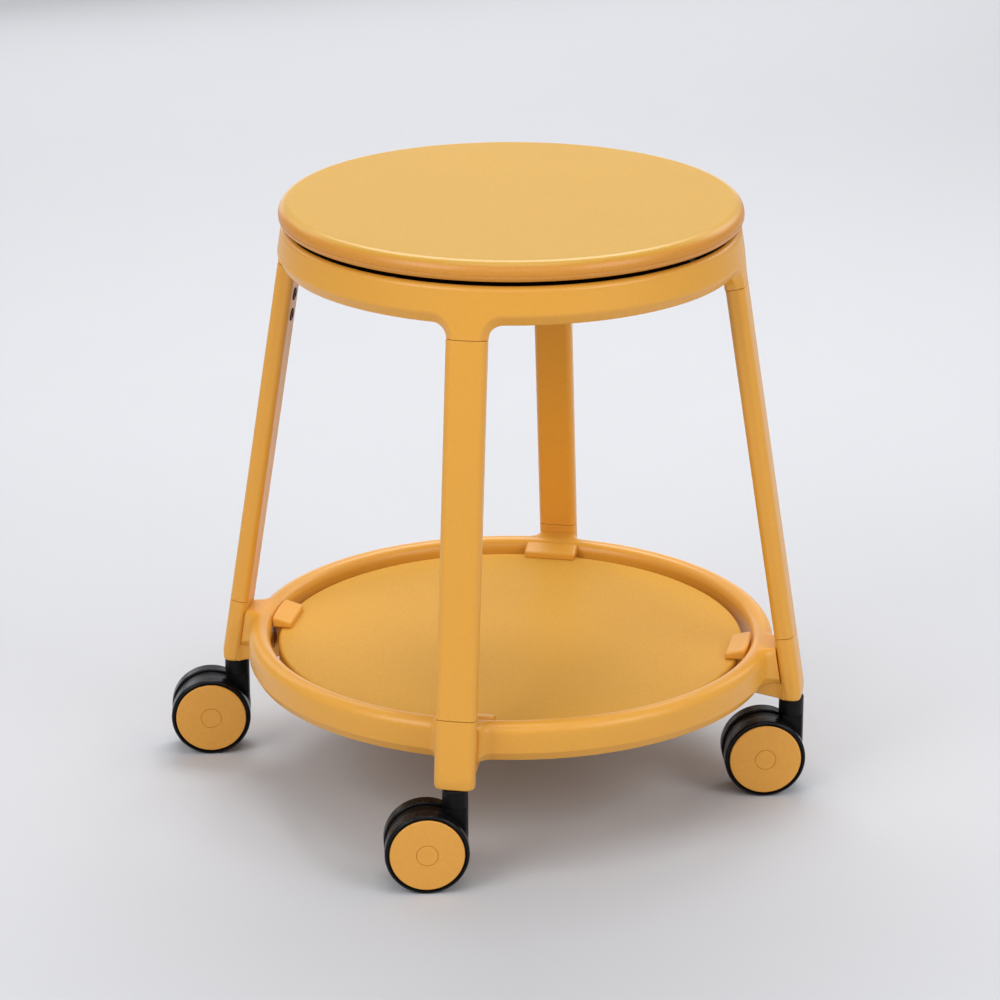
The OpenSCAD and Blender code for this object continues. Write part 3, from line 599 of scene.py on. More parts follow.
def grain_group():
    """Moulded or sprayed grain: its height, and a mask that follows it."""
    tree, entry, out = new_tree(
        "fine grain", "ShaderNodeTree",
        [("Cell", "Float", 0.0006), ("Pebble", "Float", 0.5)],
        [("Height", "Float"), ("Mask", "Float")])
    where = add(tree, "ShaderNodeTexCoord").outputs["Object"]
    scale = calc(tree, "DIVIDE", 1.0, entry["Cell"])
    fine = noise(tree, where, scale, detail=3.0, roughness=0.6)
    pebble = add(tree, "ShaderNodeTexVoronoi", {"Vector": where, "Scale": scale}, feature="SMOOTH_F1")
    blend = add(tree, "ShaderNodeMix", {"Factor": entry["Pebble"], "A": fine, "B": pebble})
    feed(tree, out, {"Height": blend, "Mask": fine})
    return tree


def drift_group():
    """A colour that drifts a little over the surface, in large soft patches and in fine mottling."""
    tree, entry, out = new_tree(
        "colour drift", "ShaderNodeTree",
        [("Color", "Color", (1, 1, 1, 1)), ("Patches", "Float", 0.04), ("Mottling", "Float", 0.05)],
        [("Color", "Color")])
    where = add(tree, "ShaderNodeTexCoord").outputs["Object"]
    large = noise(tree, where, scale=9.0, detail=2.0, roughness=0.5)
    small = noise(tree, where, scale=420.0, detail=4.0, roughness=0.65)
    patches = calc(tree, "MULTIPLY_ADD", calc(tree, "SUBTRACT", large, 0.5), entry["Patches"], 1.0)
    value = calc(tree, "MULTIPLY_ADD", calc(tree, "SUBTRACT", small, 0.5), entry["Mottling"], patches)
    tint = add(tree, "ShaderNodeHueSaturation", {"Value": value, "Color": entry["Color"]})
    feed(tree, out, {"Color": tint})
    return tree


def dust_group():
    """A thin mask of dust and scuffs, thicker in patches."""
    tree, entry, out = new_tree(
        "dust and scuffs", "ShaderNodeTree",
        [("Amount", "Float", 0.2), ("Size", "Float", 0.004)],
        [("Mask", "Float")])
    where = add(tree, "ShaderNodeTexCoord").outputs["Object"]
    scale = calc(tree, "DIVIDE", 1.0, entry["Size"])
    cloud = noise(tree, where, scale, detail=6.0, roughness=0.7)
    cut = add(tree, "ShaderNodeMapRange", {"Value": cloud, "From Min": 0.48, "From Max": 0.8})
    feed(tree, out, {"Mask": calc(tree, "MULTIPLY", cut, entry["Amount"])})
    return tree


def height_group():
    """A mask that rises from 0 to 1 between two heights of the stool."""
    tree, entry, out = new_tree(
        "height mask", "ShaderNodeTree",
        [("From", "Float", 0.43), ("To", "Float", 0.44)],
        [("Mask", "Float")])
    where = add(tree, "ShaderNodeTexCoord").outputs["Object"]
    height = add(tree, "ShaderNodeSeparateXYZ", {0: where}).outputs["Z"]
    ramp = add(tree, "ShaderNodeMapRange",
               {"Value": height, "From Min": entry["From"], "From Max": entry["To"]},
               interpolation_type="SMOOTHSTEP")
    feed(tree, out, {"Mask": ramp})
    return tree


GRAIN = grain_group()
DRIFT = drift_group()
DUST = dust_group()
HEIGHT = height_group()


# Materials

SCREEN_WHITE = 255


def linear(red, green, blue):
    """A colour written as it shows on screen, from 0 to 255, as Blender's linear values. The numbers in it
    are those of the sRGB curve."""
    def channel(value):
        value /= SCREEN_WHITE
        return value / 12.92 if value <= 0.04045 else ((value + 0.055) / 1.055) ** 2.4
    return (channel(red), channel(green), channel(blue), 1.0)


def placed_group(tree, group, **values):
    """A shader group's node in a material, with its inputs fed."""
    return add(tree, "ShaderNodeGroup", values, node_tree=group)


def painted_light_upwards(material, colour, low, high, patches=0.06, mottling=0.25):
    """Painted light: the material's colour gives way to another one, a lit copy of it, between two heights.
    """
    tree = material.node_tree
    shader = tree.nodes["Principled BSDF"]
    below = shader.inputs["Base Color"].links[0].from_socket
    above = placed_group(tree, DRIFT, Color=colour, Patches=patches, Mottling=mottling)
    mask = placed_group(tree, HEIGHT, From=low, To=high)
    mix = add(tree, "ShaderNodeMix", {"Factor": mask, "A": below, "B": above}, data_type="RGBA")
    feed(tree, shader.inputs, {"Base Color": mix})


def finish_material(name, colour, roughness, cell, bump, patches=0.04, mottling=0.05, pebble=0.5,
                    rough_range=0.08, dust=0.0, **shader_values):
    """A coloured finish with drift, grain and, where it shows, dust."""
    material = bpy.data.materials.new(name)
    material.use_nodes = True
    tree = material.node_tree
    base = placed_group(tree, DRIFT, Color=colour, Patches=patches, Mottling=mottling)
    if dust:
        scuffs = placed_group(tree, DUST, Amount=dust)
        base = add(tree, "ShaderNodeMix", {"Factor": scuffs, "A": base, "B": DUST_GREY}, data_type="RGBA")
    grain = placed_group(tree, GRAIN, Cell=cell, Pebble=pebble)
    rough = add(tree, "ShaderNodeMapRange", {
        "Value": grain.outputs["Mask"], "To Min": roughness - rough_range, "To Max": roughness + rough_range})
    relief = add(tree, "ShaderNodeBump", {"Height": grain, "Strength": 1.0, "Distance": bump})
    values = {key.replace("_", " "): value for key, value in shader_values.items()}
    feed(tree, tree.nodes["Principled BSDF"].inputs,
         {**values, "Base Color": base, "Roughness": rough, "Normal": relief})
    return material


SHELL = linear(228, 163, 60)
# Painted shade and painted light on the seat: its side and plate take a redder, slightly darker shaded copy
# of the orange, its top a yellower lit copy.
SEAT_SHADED = linear(210, 141, 48)
SEAT_LIT_TOP = linear(199, 152, 45)
# Painted shade: the tray takes a darker copy of the frame's orange, which tones down the light falling on it.
TRAY_SHADED = linear(215, 159, 60)
CAP = linear(228, 163, 72)
INK = linear(10, 10, 12)
RUBBER = linear(13, 13, 16)
BLACKENED = linear(16, 16, 18)
NYLON = linear(30, 30, 32)
GROUND_STEEL = linear(178, 180, 184)
ZINC = linear(176, 178, 180)
DUST_GREY = linear(96, 94, 92)
PAPER = linear(200, 201, 205)

MATERIALS = {
    "seat": finish_material(
        "moulded_seat", SEAT_SHADED, roughness=0.33, cell=0.0009, bump=0.00006, mottling=0.25, rough_range=0.05,
        Specular_IOR_Level=0.5),
    "frame": finish_material(
        "sprayed_frame", SHELL, roughness=0.33, cell=0.0011, bump=0.00004, mottling=0.12, pebble=0.2,
        rough_range=0.05, Specular_IOR_Level=0.5),
    "tray": finish_material(
        "moulded_tray", TRAY_SHADED, roughness=0.5, cell=0.0009, bump=0.00006, mottling=0.25,
        Specular_IOR_Level=0.15),
    "clip": finish_material(
        "moulded_clip", SHELL, roughness=0.36, cell=0.0008, bump=0.00004, mottling=0.06,
        Specular_IOR_Level=0.35),
    "cap": finish_material(
        "moulded_cap", CAP, roughness=0.5, cell=0.0008, bump=0.00004, mottling=0.2, Specular_IOR_Level=0.3),
    "fork": finish_material(
        "black_hood", INK, roughness=0.32, cell=0.0007, bump=0.00003, dust=0.03, Specular_IOR_Level=0.15),
    "hub": finish_material(
        "black_hub", INK, roughness=0.45, cell=0.0007, bump=0.00003, dust=0.05),
    "tyre": finish_material(
        "wheel_tread", RUBBER, roughness=0.26, cell=0.0010, bump=0.00002, dust=0.03, pebble=0.3,
        Specular_IOR_Level=0.18),
    "bush": finish_material(
        "bush_nylon", NYLON, roughness=0.5, cell=0.0008, bump=0.00003),
    "carrier": finish_material(
        "carrier_black", BLACKENED, roughness=0.6, cell=0.0012, bump=0.00005, pebble=0.2,
        Specular_IOR_Level=0.2),
    "bearing_steel": finish_material(
        "ground_steel", GROUND_STEEL, roughness=0.28, cell=0.0006, bump=0.00001, Metallic=1.0),
    "screw_steel": finish_material(
        "zinc_screw", ZINC, roughness=0.36, cell=0.0006, bump=0.00002, Metallic=1.0),
    "dark_screw": finish_material(
        "black_screw", BLACKENED, roughness=0.5, cell=0.0006, bump=0.00002, Specular_IOR_Level=0.2),
}
# Painted light: the seat's top fades to a yellower lit colour over the painted shade of its side and plate.
painted_light_upwards(MATERIALS["seat"], SEAT_LIT_TOP, seat_high.z - LIT_TOP_LOW_DROP, seat_high.z - LIT_TOP_HIGH_DROP)


def dress(obj, slot):
    """Gives a new piece its material."""
    obj.data.materials.clear()
    obj.data.materials.append(MATERIALS[slot])


def stand_for(obj, body, slot, *nodes):
    """A new piece rides on a body, takes a finish and stands for its CAD nodes."""
    dress(obj, slot)
    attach(obj, body)
    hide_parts(*nodes)


def dress_nodes():
    """Every CAD node that still shows gets its finish's material."""
    for entry in frame["record"]["subparts"]:
        node = frame["nodes"][entry["node"]]
        for slot in node.material_slots:
            slot.material = MATERIALS[entry["material_slot"]]


# Seat

def seat_shell():
    """The disc of the seat: flat on top, its edge rounded down to the parting line."""
    step = PARTING_STEP
    line = outline([
        (0.0, seat_low.z, 0), (SEAT_R - step, seat_low.z, 0),
        (SEAT_R - step, seat_low.z + step / 2, 0), (SEAT_R, seat_low.z + step, step / 2),
        (SEAT_R, seat_high.z, SEAT_EDGE_R), (0.0, seat_high.z, 0)], SEAT_EDGE_STEPS)
    spread = [Vector((SEAT_R * share, seat_high.z)) for share in SEAT_SPREAD_SHARES]
    obj = make("seat_shell", turned(line[:-1] + spread + line[-1:], upright, SEAT_SEGMENTS))
    stand_for(obj, "seat", "seat", "seat_top")


def seat_rim():
    """The plate under the seat shell: its edge turns in below the parting line."""
    step = PARTING_STEP
    line = outline([
        (0.0, plate_low.z, 0), (SEAT_R, plate_low.z, PLATE_EDGE_R),
        (SEAT_R, plate_high.z - step, step / 2), (SEAT_R - step, plate_high.z - step / 2, 0),
        (SEAT_R - step, plate_high.z, 0), (0.0, plate_high.z, 0)], PLATE_EDGE_STEPS)
    obj = make("seat_rim", turned(line, upright, SEAT_SEGMENTS))
    stand_for(obj, "seat", "seat", "seat_plate")


# Collar

def stations():
    """The steps round one quarter of a lobed ring, from the middle of one gap to the next: each is
    (part, side, share) with part arc, fillet or cap."""
    left = [("arc", -1, 1 - i / ARC_STEPS) for i in range(ARC_STEPS)]
    left += [("fillet", -1, 1 - i / FILLET_STEPS) for i in range(FILLET_STEPS)]
    middle = [("cap", 1, -1 + 2 * i / CAP_STEPS) for i in range(CAP_STEPS + 1)]
    right = [("fillet", 1, (i + 1) / FILLET_STEPS) for i in range(FILLET_STEPS)]
    right += [("arc", 1, (i + 1) / ARC_STEPS) for i in range(ARC_STEPS - 1)]
    return left + middle + right


def seam_z(r):
    """Height of the upper seam, which lies square to the leg, at a radius."""
    return STUB_SEAM_Z + (r - leg_r(STUB_SEAM_Z)) * tan(LEG_SPLAY)


def lower_edge(part, side, share, half, rise, radius_at):
    """(heading, radius, height) on one line of the collar's lower edge: along the ring, round the fillet,
    across the stub's seam. half is the line's distance from the leg's middle, rise its height on the ring."""
    across = FILLET_Y - half
    up = rise - FILLET_Z
    seam = seam_z(radius_at(STUB_SEAM_Z))
    start = asin(min(max((seam - FILLET_Z) / up, 0.0), 1.0))
    if part == "cap":
        y, z = share * (FILLET_Y - across * cos(start)), seam
    elif part == "fillet":
        angle = start + (pi / 2 - start) * share
        y, z = side * (FILLET_Y - across * cos(angle)), FILLET_Z + up * sin(angle)
    else:
        z = rise
        edge = asin(FILLET_Y / radius_at(z))
        return side * (edge + (pi / 4 - edge) * share), radius_at(z), z
    r = radius_at(z)
    return asin(y / r), r, z


def bevel_depth(share_up):
    """Depth of the lower bevel: a little less down the stub than along the ring."""
    return BEVEL_DEPTH - BEVEL_FADE * (1 - share_up)


def bevel_points():
    """(share across the bevel, share of its depth) from the face down to the lower edge, with soft edges."""
    edge = BEVEL_EDGE_SHARE
    return [(1 + edge * t, edge / 4 * (1 - t) ** 2) for t in BEVEL_EDGE_SHARES] + list(BEVEL_TOE_SHARES)


def collar_rows(part, side, share):
    """The section of the collar at one station, as (heading, radius, height) points all the way round."""
    face_z = COLLAR_LOW_Z + BEVEL_RISE
    lines = []
    for across, depth_share in bevel_points():
        def radius_at(z, depth_share=depth_share):
            up = min(max((z - FILLET_Z) / (face_z - FILLET_Z), 0.0), 1.0)
            return outer_r(z) - bevel_depth(up) * depth_share
        half = LEG_W / 2 - BEVEL_SIDE * across
        lines.append(lower_edge(part, side, share, half, COLLAR_LOW_Z + BEVEL_RISE * across, radius_at))
    face_heading, _, low = lines[0]
    top = COLLAR_TOP_Z - COLLAR_TOP_R
    face = []
    for k in range(1, COLLAR_FACE_STEPS + 1):
        z = low + (top - low) * k / COLLAR_FACE_STEPS
        face.append((face_heading, outer_r(z), z))
    crown = outer_r(top) - COLLAR_TOP_R
    rounding = [(face_heading, crown + COLLAR_TOP_R * cos(angle), top + COLLAR_TOP_R * sin(angle))
                for angle in quarter(COLLAR_TOP_STEPS, 1)]
    under = []
    for angle in quarter(COLLAR_UNDER_STEPS):
        back = STUB_INNER_R * (1 - cos(angle))
        close = STUB_INNER_R * (1 - sin(angle))

        def inner_at(z, close=close):
            return max(inner_r(z), COLLAR_BORE_R) + close
        under.append(lower_edge(part, side, share, LEG_W / 2 - back, COLLAR_LOW_Z + back, inner_at))
    inner_heading = under[-1][0]
    wall = [(inner_heading, r, z) for r, z in (
        (COLLAR_BORE_R, LEDGE_LOW_Z), (COLLAR_BORE_R - LEDGE_IN, LEDGE_LOW_Z),
        (COLLAR_BORE_R - LEDGE_IN, LEDGE_HIGH_Z), (COLLAR_BORE_R, LEDGE_HIGH_Z),
        (COLLAR_BORE_R, CARRIER_TOP_Z), (crown - COLLAR_RIM_FLAT, COLLAR_TOP_Z))]
    return list(reversed(rounding)) + list(reversed(face)) + lines + under + wall


def collar():
    """The ring under the seat with its four stubs, whose lower edge is one bevelled line."""
    columns = []
    for heading in HEADINGS.values():
        for part, side, share in stations():
            rows = collar_rows(part, side, share)
            columns.append([Vector((r * cos(heading + a), r * sin(heading + a), z)) for a, r, z in rows])
    obj = make("collar", skin(columns, loop=True), merge=RING_MERGE)
    stand_for(obj, "frame", "frame", "frame_collar")


# Legs and feet

def leg_section(outer_in=0.0, side_in=0.0, edge=0.0):
    """Corners of a leg's section, outwards and across, with its outer face and its sides drawn in."""
    t, w, r = LEG_T / 2 - edge, LEG_W / 2 - side_in - edge, LEG_CORNER_R - edge
    face = [w * share for share in LEG_FACE_SHARES]
    outer = t - outer_in
    return ([(-t, -w, r), (outer, -w, r)] + [(outer, y, 0) for y in face]
            + [(outer, w, r), (-t, w, r)] + [(-t, -y, 0) for y in face])


def leg(name, heading):
    """A leg tube between its two seams."""
    place = bulged(at_heading(heading))

    def along(x, y, s):
        height = x * sin(LEG_SPLAY) + s * cos(LEG_SPLAY)
        return place(LEG_FOOT_R + x * cos(LEG_SPLAY) - s * sin(LEG_SPLAY), y, height)
    low, high = LEG_LOW_Z / cos(LEG_SPLAY), LEG_HIGH_Z / cos(LEG_SPLAY)
    tube = slab(leg_section(), low, high, SEAM_EDGE_R, along, LEG_CORNER_STEPS, between=LEG_STEPS)
    obj = make("leg_tube_" + name, tube)
    stand_for(obj, "frame", "frame", "leg_" + name)


def foot_block(heading):
    """The foot below a leg's seam: the leg's section, level below and square to the leg at the seam."""
    place = bulged(at_heading(heading))
    seam = LEG_LOW_Z - SEAM_GAP
    rings = []
    bottom = [FOOT_SIDE_R * (1 - cos(a)) for a in quarter(FOOT_RIM_STEPS)]
    heights = [(FOOT_LOW_Z + h, 0.0) for h in bottom + FOOT_LEVELS]
    heights += [(seam - SEAM_EDGE_R * (1 - sin(a)), SEAM_EDGE_R * (1 - cos(a))) for a in quarter(SEAM_STEPS)]
    for level, edge in heights:
        up = level - FOOT_LOW_Z
        side_in = FOOT_SIDE_R - sqrt(max(FOOT_SIDE_R ** 2 - max(FOOT_SIDE_R - up, 0.0) ** 2, 0.0))
        rim = FOOT_RIM_R - sqrt(max(FOOT_RIM_R ** 2 - max(FOOT_RIM_R - up, 0.0) ** 2, 0.0))
        drawn = FOOT_DRAW * max(1 - up / FOOT_DRAW_H, 0.0) ** FOOT_DRAW_POWER
        tilt = min(max((up - FOOT_LEVEL_H) / (seam - FOOT_LOW_Z - FOOT_LEVEL_H), 0.0), 1.0)
        ring = []
        for p in outline(leg_section(rim + drawn, side_in, edge), FOOT_CORNER_STEPS):
            z = level + tilt * p.x * sin(LEG_SPLAY)
            ring.append(place(leg_r(z) + p.x / cos(LEG_SPLAY), p.y, z))
        rings.append(ring)
    return skin(rings)


def arm(heading):
    """The arm inwards under the ring: it rises inwards, flares at the foot and ends in the tray's pad."""
    place = at_heading(heading)
    foot_r = inner_r(FOOT_LOW_Z)
    sections = [(ARM_END_R + ARM_EDGE_R * (1 - cos(a)), ARM_EDGE_R * (1 - sin(a)))
                for a in quarter(RIM_STEPS)]
    sections += [(ARM_STEP_R, 0.0), (ARM_STEP_R + ARM_STEP_LEN, 0.0)]
    for k in range(ARM_FLARE_STEPS + 1):
        sections.append((foot_r - ARM_FLARE_LEN * (1 - k / ARM_FLARE_STEPS), 0.0))
    sections.append((foot_r + ARM_BITE, 0.0))
    rings = []
    for r, edge in sections:
        low = FOOT_LOW_Z + ARM_LIFT + ARM_RISE * abs(foot_r - r) + edge
        high = (tray_low.z if r <= ARM_STEP_R else RING_LOW_Z) - edge
        bend = max(1 - (foot_r - r) / ARM_FLARE_LEN, 0.0)
        half = ARM_W / 2 + ARM_FLARE * min(bend, 1.0) ** 2 - edge
        corner = ARM_EDGE_R - edge * ARM_CORNER_SHARE
        corners = [(-half, low, corner), (half, low, corner), (half, high, corner), (-half, high, corner)]
        rings.append([place(r, p.x, p.y) for p in outline(corners, RIM_STEPS)])
    return skin(rings)


def foot(name, heading):
    """A foot: its block and its arm in one."""
    obj = combined(make("foot_block_" + name, foot_block(heading)), [arm(heading)], "UNION")
    stand_for(obj, "frame", "frame", "foot_" + name)


# Tray ring

def ring_edge(part, side, share, depth, z):
    """(x, y) on the ring's outer edge moved inwards by depth: along the ring, round a lug's fillet or
    across the lug's end, which lies along the foot."""
    round_r = LUG_FILLET_R + depth
    end_x = inner_r(z) - LUG_GAP
    start = asin(min(max((LUG_X - end_x) / round_r, -1.0), 1.0))
    stop = atan2(LUG_X, LUG_Y)
    if part == "cap":
        return end_x, share * (LUG_Y - round_r * cos(start))
    if part == "fillet":
        angle = start + (stop - start) * share
        return LUG_X - round_r * sin(angle), side * (LUG_Y - round_r * cos(angle))
    edge = atan2(LUG_Y, LUG_X)
    heading = side * (edge + (pi / 4 - edge) * share)
    return (RING_R - depth) * cos(heading), (RING_R - depth) * sin(heading)


def ring_rows(part, side, share):
    """The section of the tray ring at one station, as (x, y, z) points all the way round."""
    on_lug = {"cap": 1.0, "arc": 0.0}.get(part)
    if on_lug is None:
        on_lug = 0.5 + 0.5 * cos(pi * min(share * LUG_FADE_SHARE, 1.0))
    edge_r = CROWN_R + (LUG_EDGE_R - CROWN_R) * on_lug
    bevel_h = RING_BEVEL_H - LUG_BEVEL_H_LESS * on_lug
    bevel_d = RING_BEVEL_D - LUG_BEVEL_D_LESS * on_lug
    lines = [(bevel_d, RING_LOW_Z), (bevel_d * RING_TOE_SHARE, RING_LOW_Z + RING_TOE_H)]
    lines += [(bevel_d * deep, RING_LOW_Z + bevel_h * up) for deep, up in RING_BEVEL_SHARES]
    wall_low, wall_high = lines[-1][1], RING_TOP_Z - edge_r
    for k in range(1, RING_WALL_STEPS + 1):
        lines.append((0.0, wall_low + (wall_high - wall_low) * k / RING_WALL_STEPS))
    for angle in quarter(RING_EDGE_STEPS, 1):
        lines.append((edge_r * (1 - cos(angle)), wall_high + edge_r * sin(angle)))
    points = [(*ring_edge(part, side, share, depth, z), z) for depth, z in lines]
    last_x, last_y, _ = points[-1]
    heading, r = atan2(last_y, last_x), sqrt(last_x ** 2 + last_y ** 2)
    crown_r, crown_z = RING_BORE_R + CROWN_R, RING_TOP_Z - CROWN_R
    inner = [(r + (crown_r - r) * k / RING_TOP_STEPS, RING_TOP_Z) for k in range(1, RING_TOP_STEPS + 1)]
    for angle in quarter(RING_CROWN_STEPS, 1):
        inner.append((crown_r + CROWN_R * cos(pi / 2 + angle), crown_z + CROWN_R * sin(pi / 2 + angle)))
    toe = RING_TOE_R
    inner += [(RING_BORE_R, RING_LOW_Z + RING_BORE_H), (RING_BORE_R, RING_LOW_Z + toe),
              (RING_BORE_R + toe / 3, RING_LOW_Z + toe / 4), (RING_BORE_R + toe, RING_LOW_Z)]
    return points + [(r * cos(heading), r * sin(heading), z) for r, z in inner]


def tray_ring():
    """The ring round the tray with a lug outwards to each foot."""
    columns = []
    for heading in HEADINGS.values():
        turn = Matrix.Rotation(heading, 3, "Z")
        for part, side, share in stations():
            columns.append([turn @ Vector(p) for p in ring_rows(part, side, share)])
    obj = make("ring_bar", skin(columns, loop=True), merge=RING_MERGE)
    stand_for(obj, "frame", "frame", "tray_ring")


# Tray and clips

def tray_plate():
    """The tray's plate with its rim, notched where the clips' legs pass."""
    e, top, low = TRAY_EDGE_R, tray_high.z, tray_low.z
    profile = [(0.0, top - TRAY_SKIN), (TRAY_R - TRAY_RIM, top - TRAY_SKIN), (TRAY_R - TRAY_RIM, low)]
    profile += [(TRAY_R - TRAY_TOE, low), (TRAY_R, low + TRAY_TOE)]
    profile += [(TRAY_R - e + e * cos(a), top - e + e * sin(a)) for a in quarter(TRAY_EDGE_STEPS)]
    profile += [(TRAY_R * share, top) for share in TRAY_SPREAD_SHARES]
    obj = make("tray_plate", turned(profile, upright, SEAT_SEGMENTS))
    half = CLIP_LEG_W / 2 + NOTCH_GAP
    near, far = CLIP_LEG_IN_R - NOTCH_GAP, TRAY_R + NOTCH_REACH
    corners = [(near, -half, 0), (far, -half, 0), (far, half, 0), (near, half, 0)]
    notches = [slab(corners, low - CUT_OVER, top + CUT_OVER, 0.0, at_heading(heading), edge_steps=1)
               for heading in HEADINGS.values()]
    combined(obj, notches, "DIFFERENCE")
    stand_for(obj, "frame", "tray", "tray_disc")


def rib_tree():
    """Ribs under a round plate: a hub, rings between the zones, and more ribs in each zone outwards."""
    tree, entry, out = new_tree(
        "plate ribs", "GeometryNodeTree",
        [("Hub radius", "Float", RIB_HUB_R), ("Pitch", "Float", RIB_PITCH), ("Thick", "Float", RIB_T),
         ("Height", "Float", RIB_H), ("Middle", "Float", RIB_MIDDLE_Z), ("Per step", "Int", RIBS_PER_STEP),
         ("Material", "Material", None)],
        [("Geometry", "Geometry")])
    hub_r, pitch, thick, height = (entry[label] for label in ("Hub radius", "Pitch", "Thick", "Height"))

    def lifted(shape):
        lift = add(tree, "ShaderNodeCombineXYZ", {"Z": entry["Middle"]})
        return add(tree, "GeometryNodeTransform", {"Geometry": shape, "Translation": lift})
    pieces = []
    for zone in range(RIB_ZONES):
        inner = calc(tree, "MULTIPLY_ADD", pitch, float(zone), hub_r)
        middle = calc(tree, "MULTIPLY_ADD", pitch, zone + 0.5, hub_r)
        count = calc(tree, "MULTIPLY", entry["Per step"], float(zone + 2))
        size = add(tree, "ShaderNodeCombineXYZ", {"X": pitch, "Y": thick, "Z": height})
        rib = add(tree, "GeometryNodeMeshCube", {"Size": size})
        line = add(tree, "GeometryNodeMeshLine", {"Count": count})
        index = add(tree, "GeometryNodeInputIndex")
        angle = calc(tree, "MULTIPLY", calc(tree, "DIVIDE", 2 * pi, count), index)
        start = add(tree, "ShaderNodeCombineXYZ", {"X": middle, "Z": entry["Middle"]})
        where = add(tree, "ShaderNodeVectorRotate", {"Vector": start, "Angle": angle}, rotation_type="Z_AXIS")
        heading = add(tree, "ShaderNodeCombineXYZ", {"Z": angle})
        points = add(tree, "GeometryNodeSetPosition", {"Geometry": line, "Position": where})
        pieces.append(add(tree, "GeometryNodeInstanceOnPoints",
                          {"Points": points, "Instance": rib, "Rotation": heading}))
        if zone:
            path = add(tree, "GeometryNodeCurvePrimitiveCircle",
                       {"Resolution": RIB_RING_SEGMENTS, "Radius": inner})
            section = add(tree, "GeometryNodeCurvePrimitiveQuadrilateral", {"Width": thick, "Height": height})
            ring = add(tree, "GeometryNodeCurveToMesh", {"Curve": path, "Profile Curve": section})
            pieces.append(lifted(ring))
    hub = add(tree, "GeometryNodeMeshCylinder",
              {"Vertices": RIB_HUB_SEGMENTS, "Radius": hub_r, "Depth": height})
    ended(tree, out, pieces + [lifted(hub)], entry["Material"])
    return tree


def tray_ribs():
    """The ribs under the tray, from its rim inwards to a round hub."""
    values = {"Hub radius": RIB_HUB_R, "Pitch": RIB_PITCH, "Thick": RIB_T, "Height": RIB_H,
              "Middle": RIB_MIDDLE_Z, "Per step": RIBS_PER_STEP}
    obj = grown("tray_ribs", rib_tree(), values, MATERIALS["tray"])
    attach(obj, "frame")


# Leg screws

def screw_head():
    """A round screw head with a soft rim and a six-sided key hole. It stands on z = 0 and is only copied."""
    r, h, key_r, key_d = LEG_SCREW_R, LEG_SCREW_H, LEG_SCREW_KEY_R, LEG_SCREW_KEY_D
    profile = [(0.0, -LEG_SCREW_SINK), (r, -LEG_SCREW_SINK)]
    profile += [(r * out, h * up) for out, up in LEG_SCREW_RIM_SHARES] + [(0.0, h)]
    head = make("head_shape", turned(profile, upright, LEG_SCREW_SEGMENTS))
    angles = [2 * pi * k / LEG_SCREW_KEY_SIDES for k in range(LEG_SCREW_KEY_SIDES)]
    corners = [(key_r * cos(a), key_r * sin(a), 0) for a in angles]
    combined(head, [slab(corners, h - key_d, h + key_d, 0.0, upright, edge_steps=1)], "DIFFERENCE")
    head.modifiers.clear()
    return head


def leg_screw_tree():
    """Copies of a head on each leg's inner face, one above the other, pointing inwards."""
    tree, entry, out = new_tree(
        "leg screw heads", "GeometryNodeTree",
        [("Head", "Object", None), ("Legs", "Int", len(HEADINGS)), ("Splay", "Float", LEG_SPLAY),
         ("Foot radius", "Float", LEG_FOOT_R), ("Face", "Float", LEG_T / 2),
         ("First", "Float", LEG_SCREW_FIRST), ("Pitch", "Float", LEG_SCREW_PITCH),
         ("Material", "Material", None)],
        [("Geometry", "Geometry")])
    head = add(tree, "GeometryNodeObjectInfo", {"Object": entry["Head"]}).outputs["Geometry"]
    count = calc(tree, "MULTIPLY", entry["Legs"], float(SCREWS_PER_LEG))
    line = add(tree, "GeometryNodeMeshLine", {"Count": count})
    index = add(tree, "GeometryNodeInputIndex")
    leg_number = calc(tree, "FLOOR", calc(tree, "MULTIPLY", index, 1 / SCREWS_PER_LEG))
    heading = calc(tree, "MULTIPLY", leg_number, pi / 2)
    row = calc(tree, "MODULO", index, float(SCREWS_PER_LEG))
    along = calc(tree, "SUBTRACT", entry["First"], calc(tree, "MULTIPLY", row, entry["Pitch"]))
    lean, rise = calc(tree, "SINE", entry["Splay"]), calc(tree, "COSINE", entry["Splay"])
    along_in, face_in = calc(tree, "MULTIPLY", along, lean), calc(tree, "MULTIPLY", entry["Face"], rise)
    along_up, face_down = calc(tree, "MULTIPLY", along, rise), calc(tree, "MULTIPLY", entry["Face"], lean)
    radius = calc(tree, "SUBTRACT", entry["Foot radius"], calc(tree, "ADD", along_in, face_in))
    height = calc(tree, "SUBTRACT", along_up, face_down)
    start = add(tree, "ShaderNodeCombineXYZ", {"X": radius, "Z": height})
    where = add(tree, "ShaderNodeVectorRotate", {"Vector": start, "Angle": heading}, rotation_type="Z_AXIS")
    tip = calc(tree, "SUBTRACT", -pi / 2, entry["Splay"])
    facing = add(tree, "ShaderNodeCombineXYZ", {"Y": tip, "Z": heading})
    points = add(tree, "GeometryNodeSetPosition", {"Geometry": line, "Position": where})
    copies = add(tree, "GeometryNodeInstanceOnPoints",
                 {"Points": points, "Instance": head, "Rotation": facing})
    ended(tree, out, [copies], entry["Material"])
    return tree


def leg_screws():
    """The dark screw heads on the inner faces of the legs, just below the upper seams."""
    head = screw_head()
    values = {"Head": head, "Legs": len(HEADINGS), "Splay": LEG_SPLAY, "Foot radius": LEG_FOOT_R,
              "Face": LEG_T / 2, "First": LEG_SCREW_FIRST, "Pitch": LEG_SCREW_PITCH}
    obj = grown("leg_screw_heads", leg_screw_tree(), values, MATERIALS["dark_screw"])
    bpy.data.objects.remove(head)
    smooth(obj)
    stand_for(obj, "frame", "dark_screw", "leg_screws")


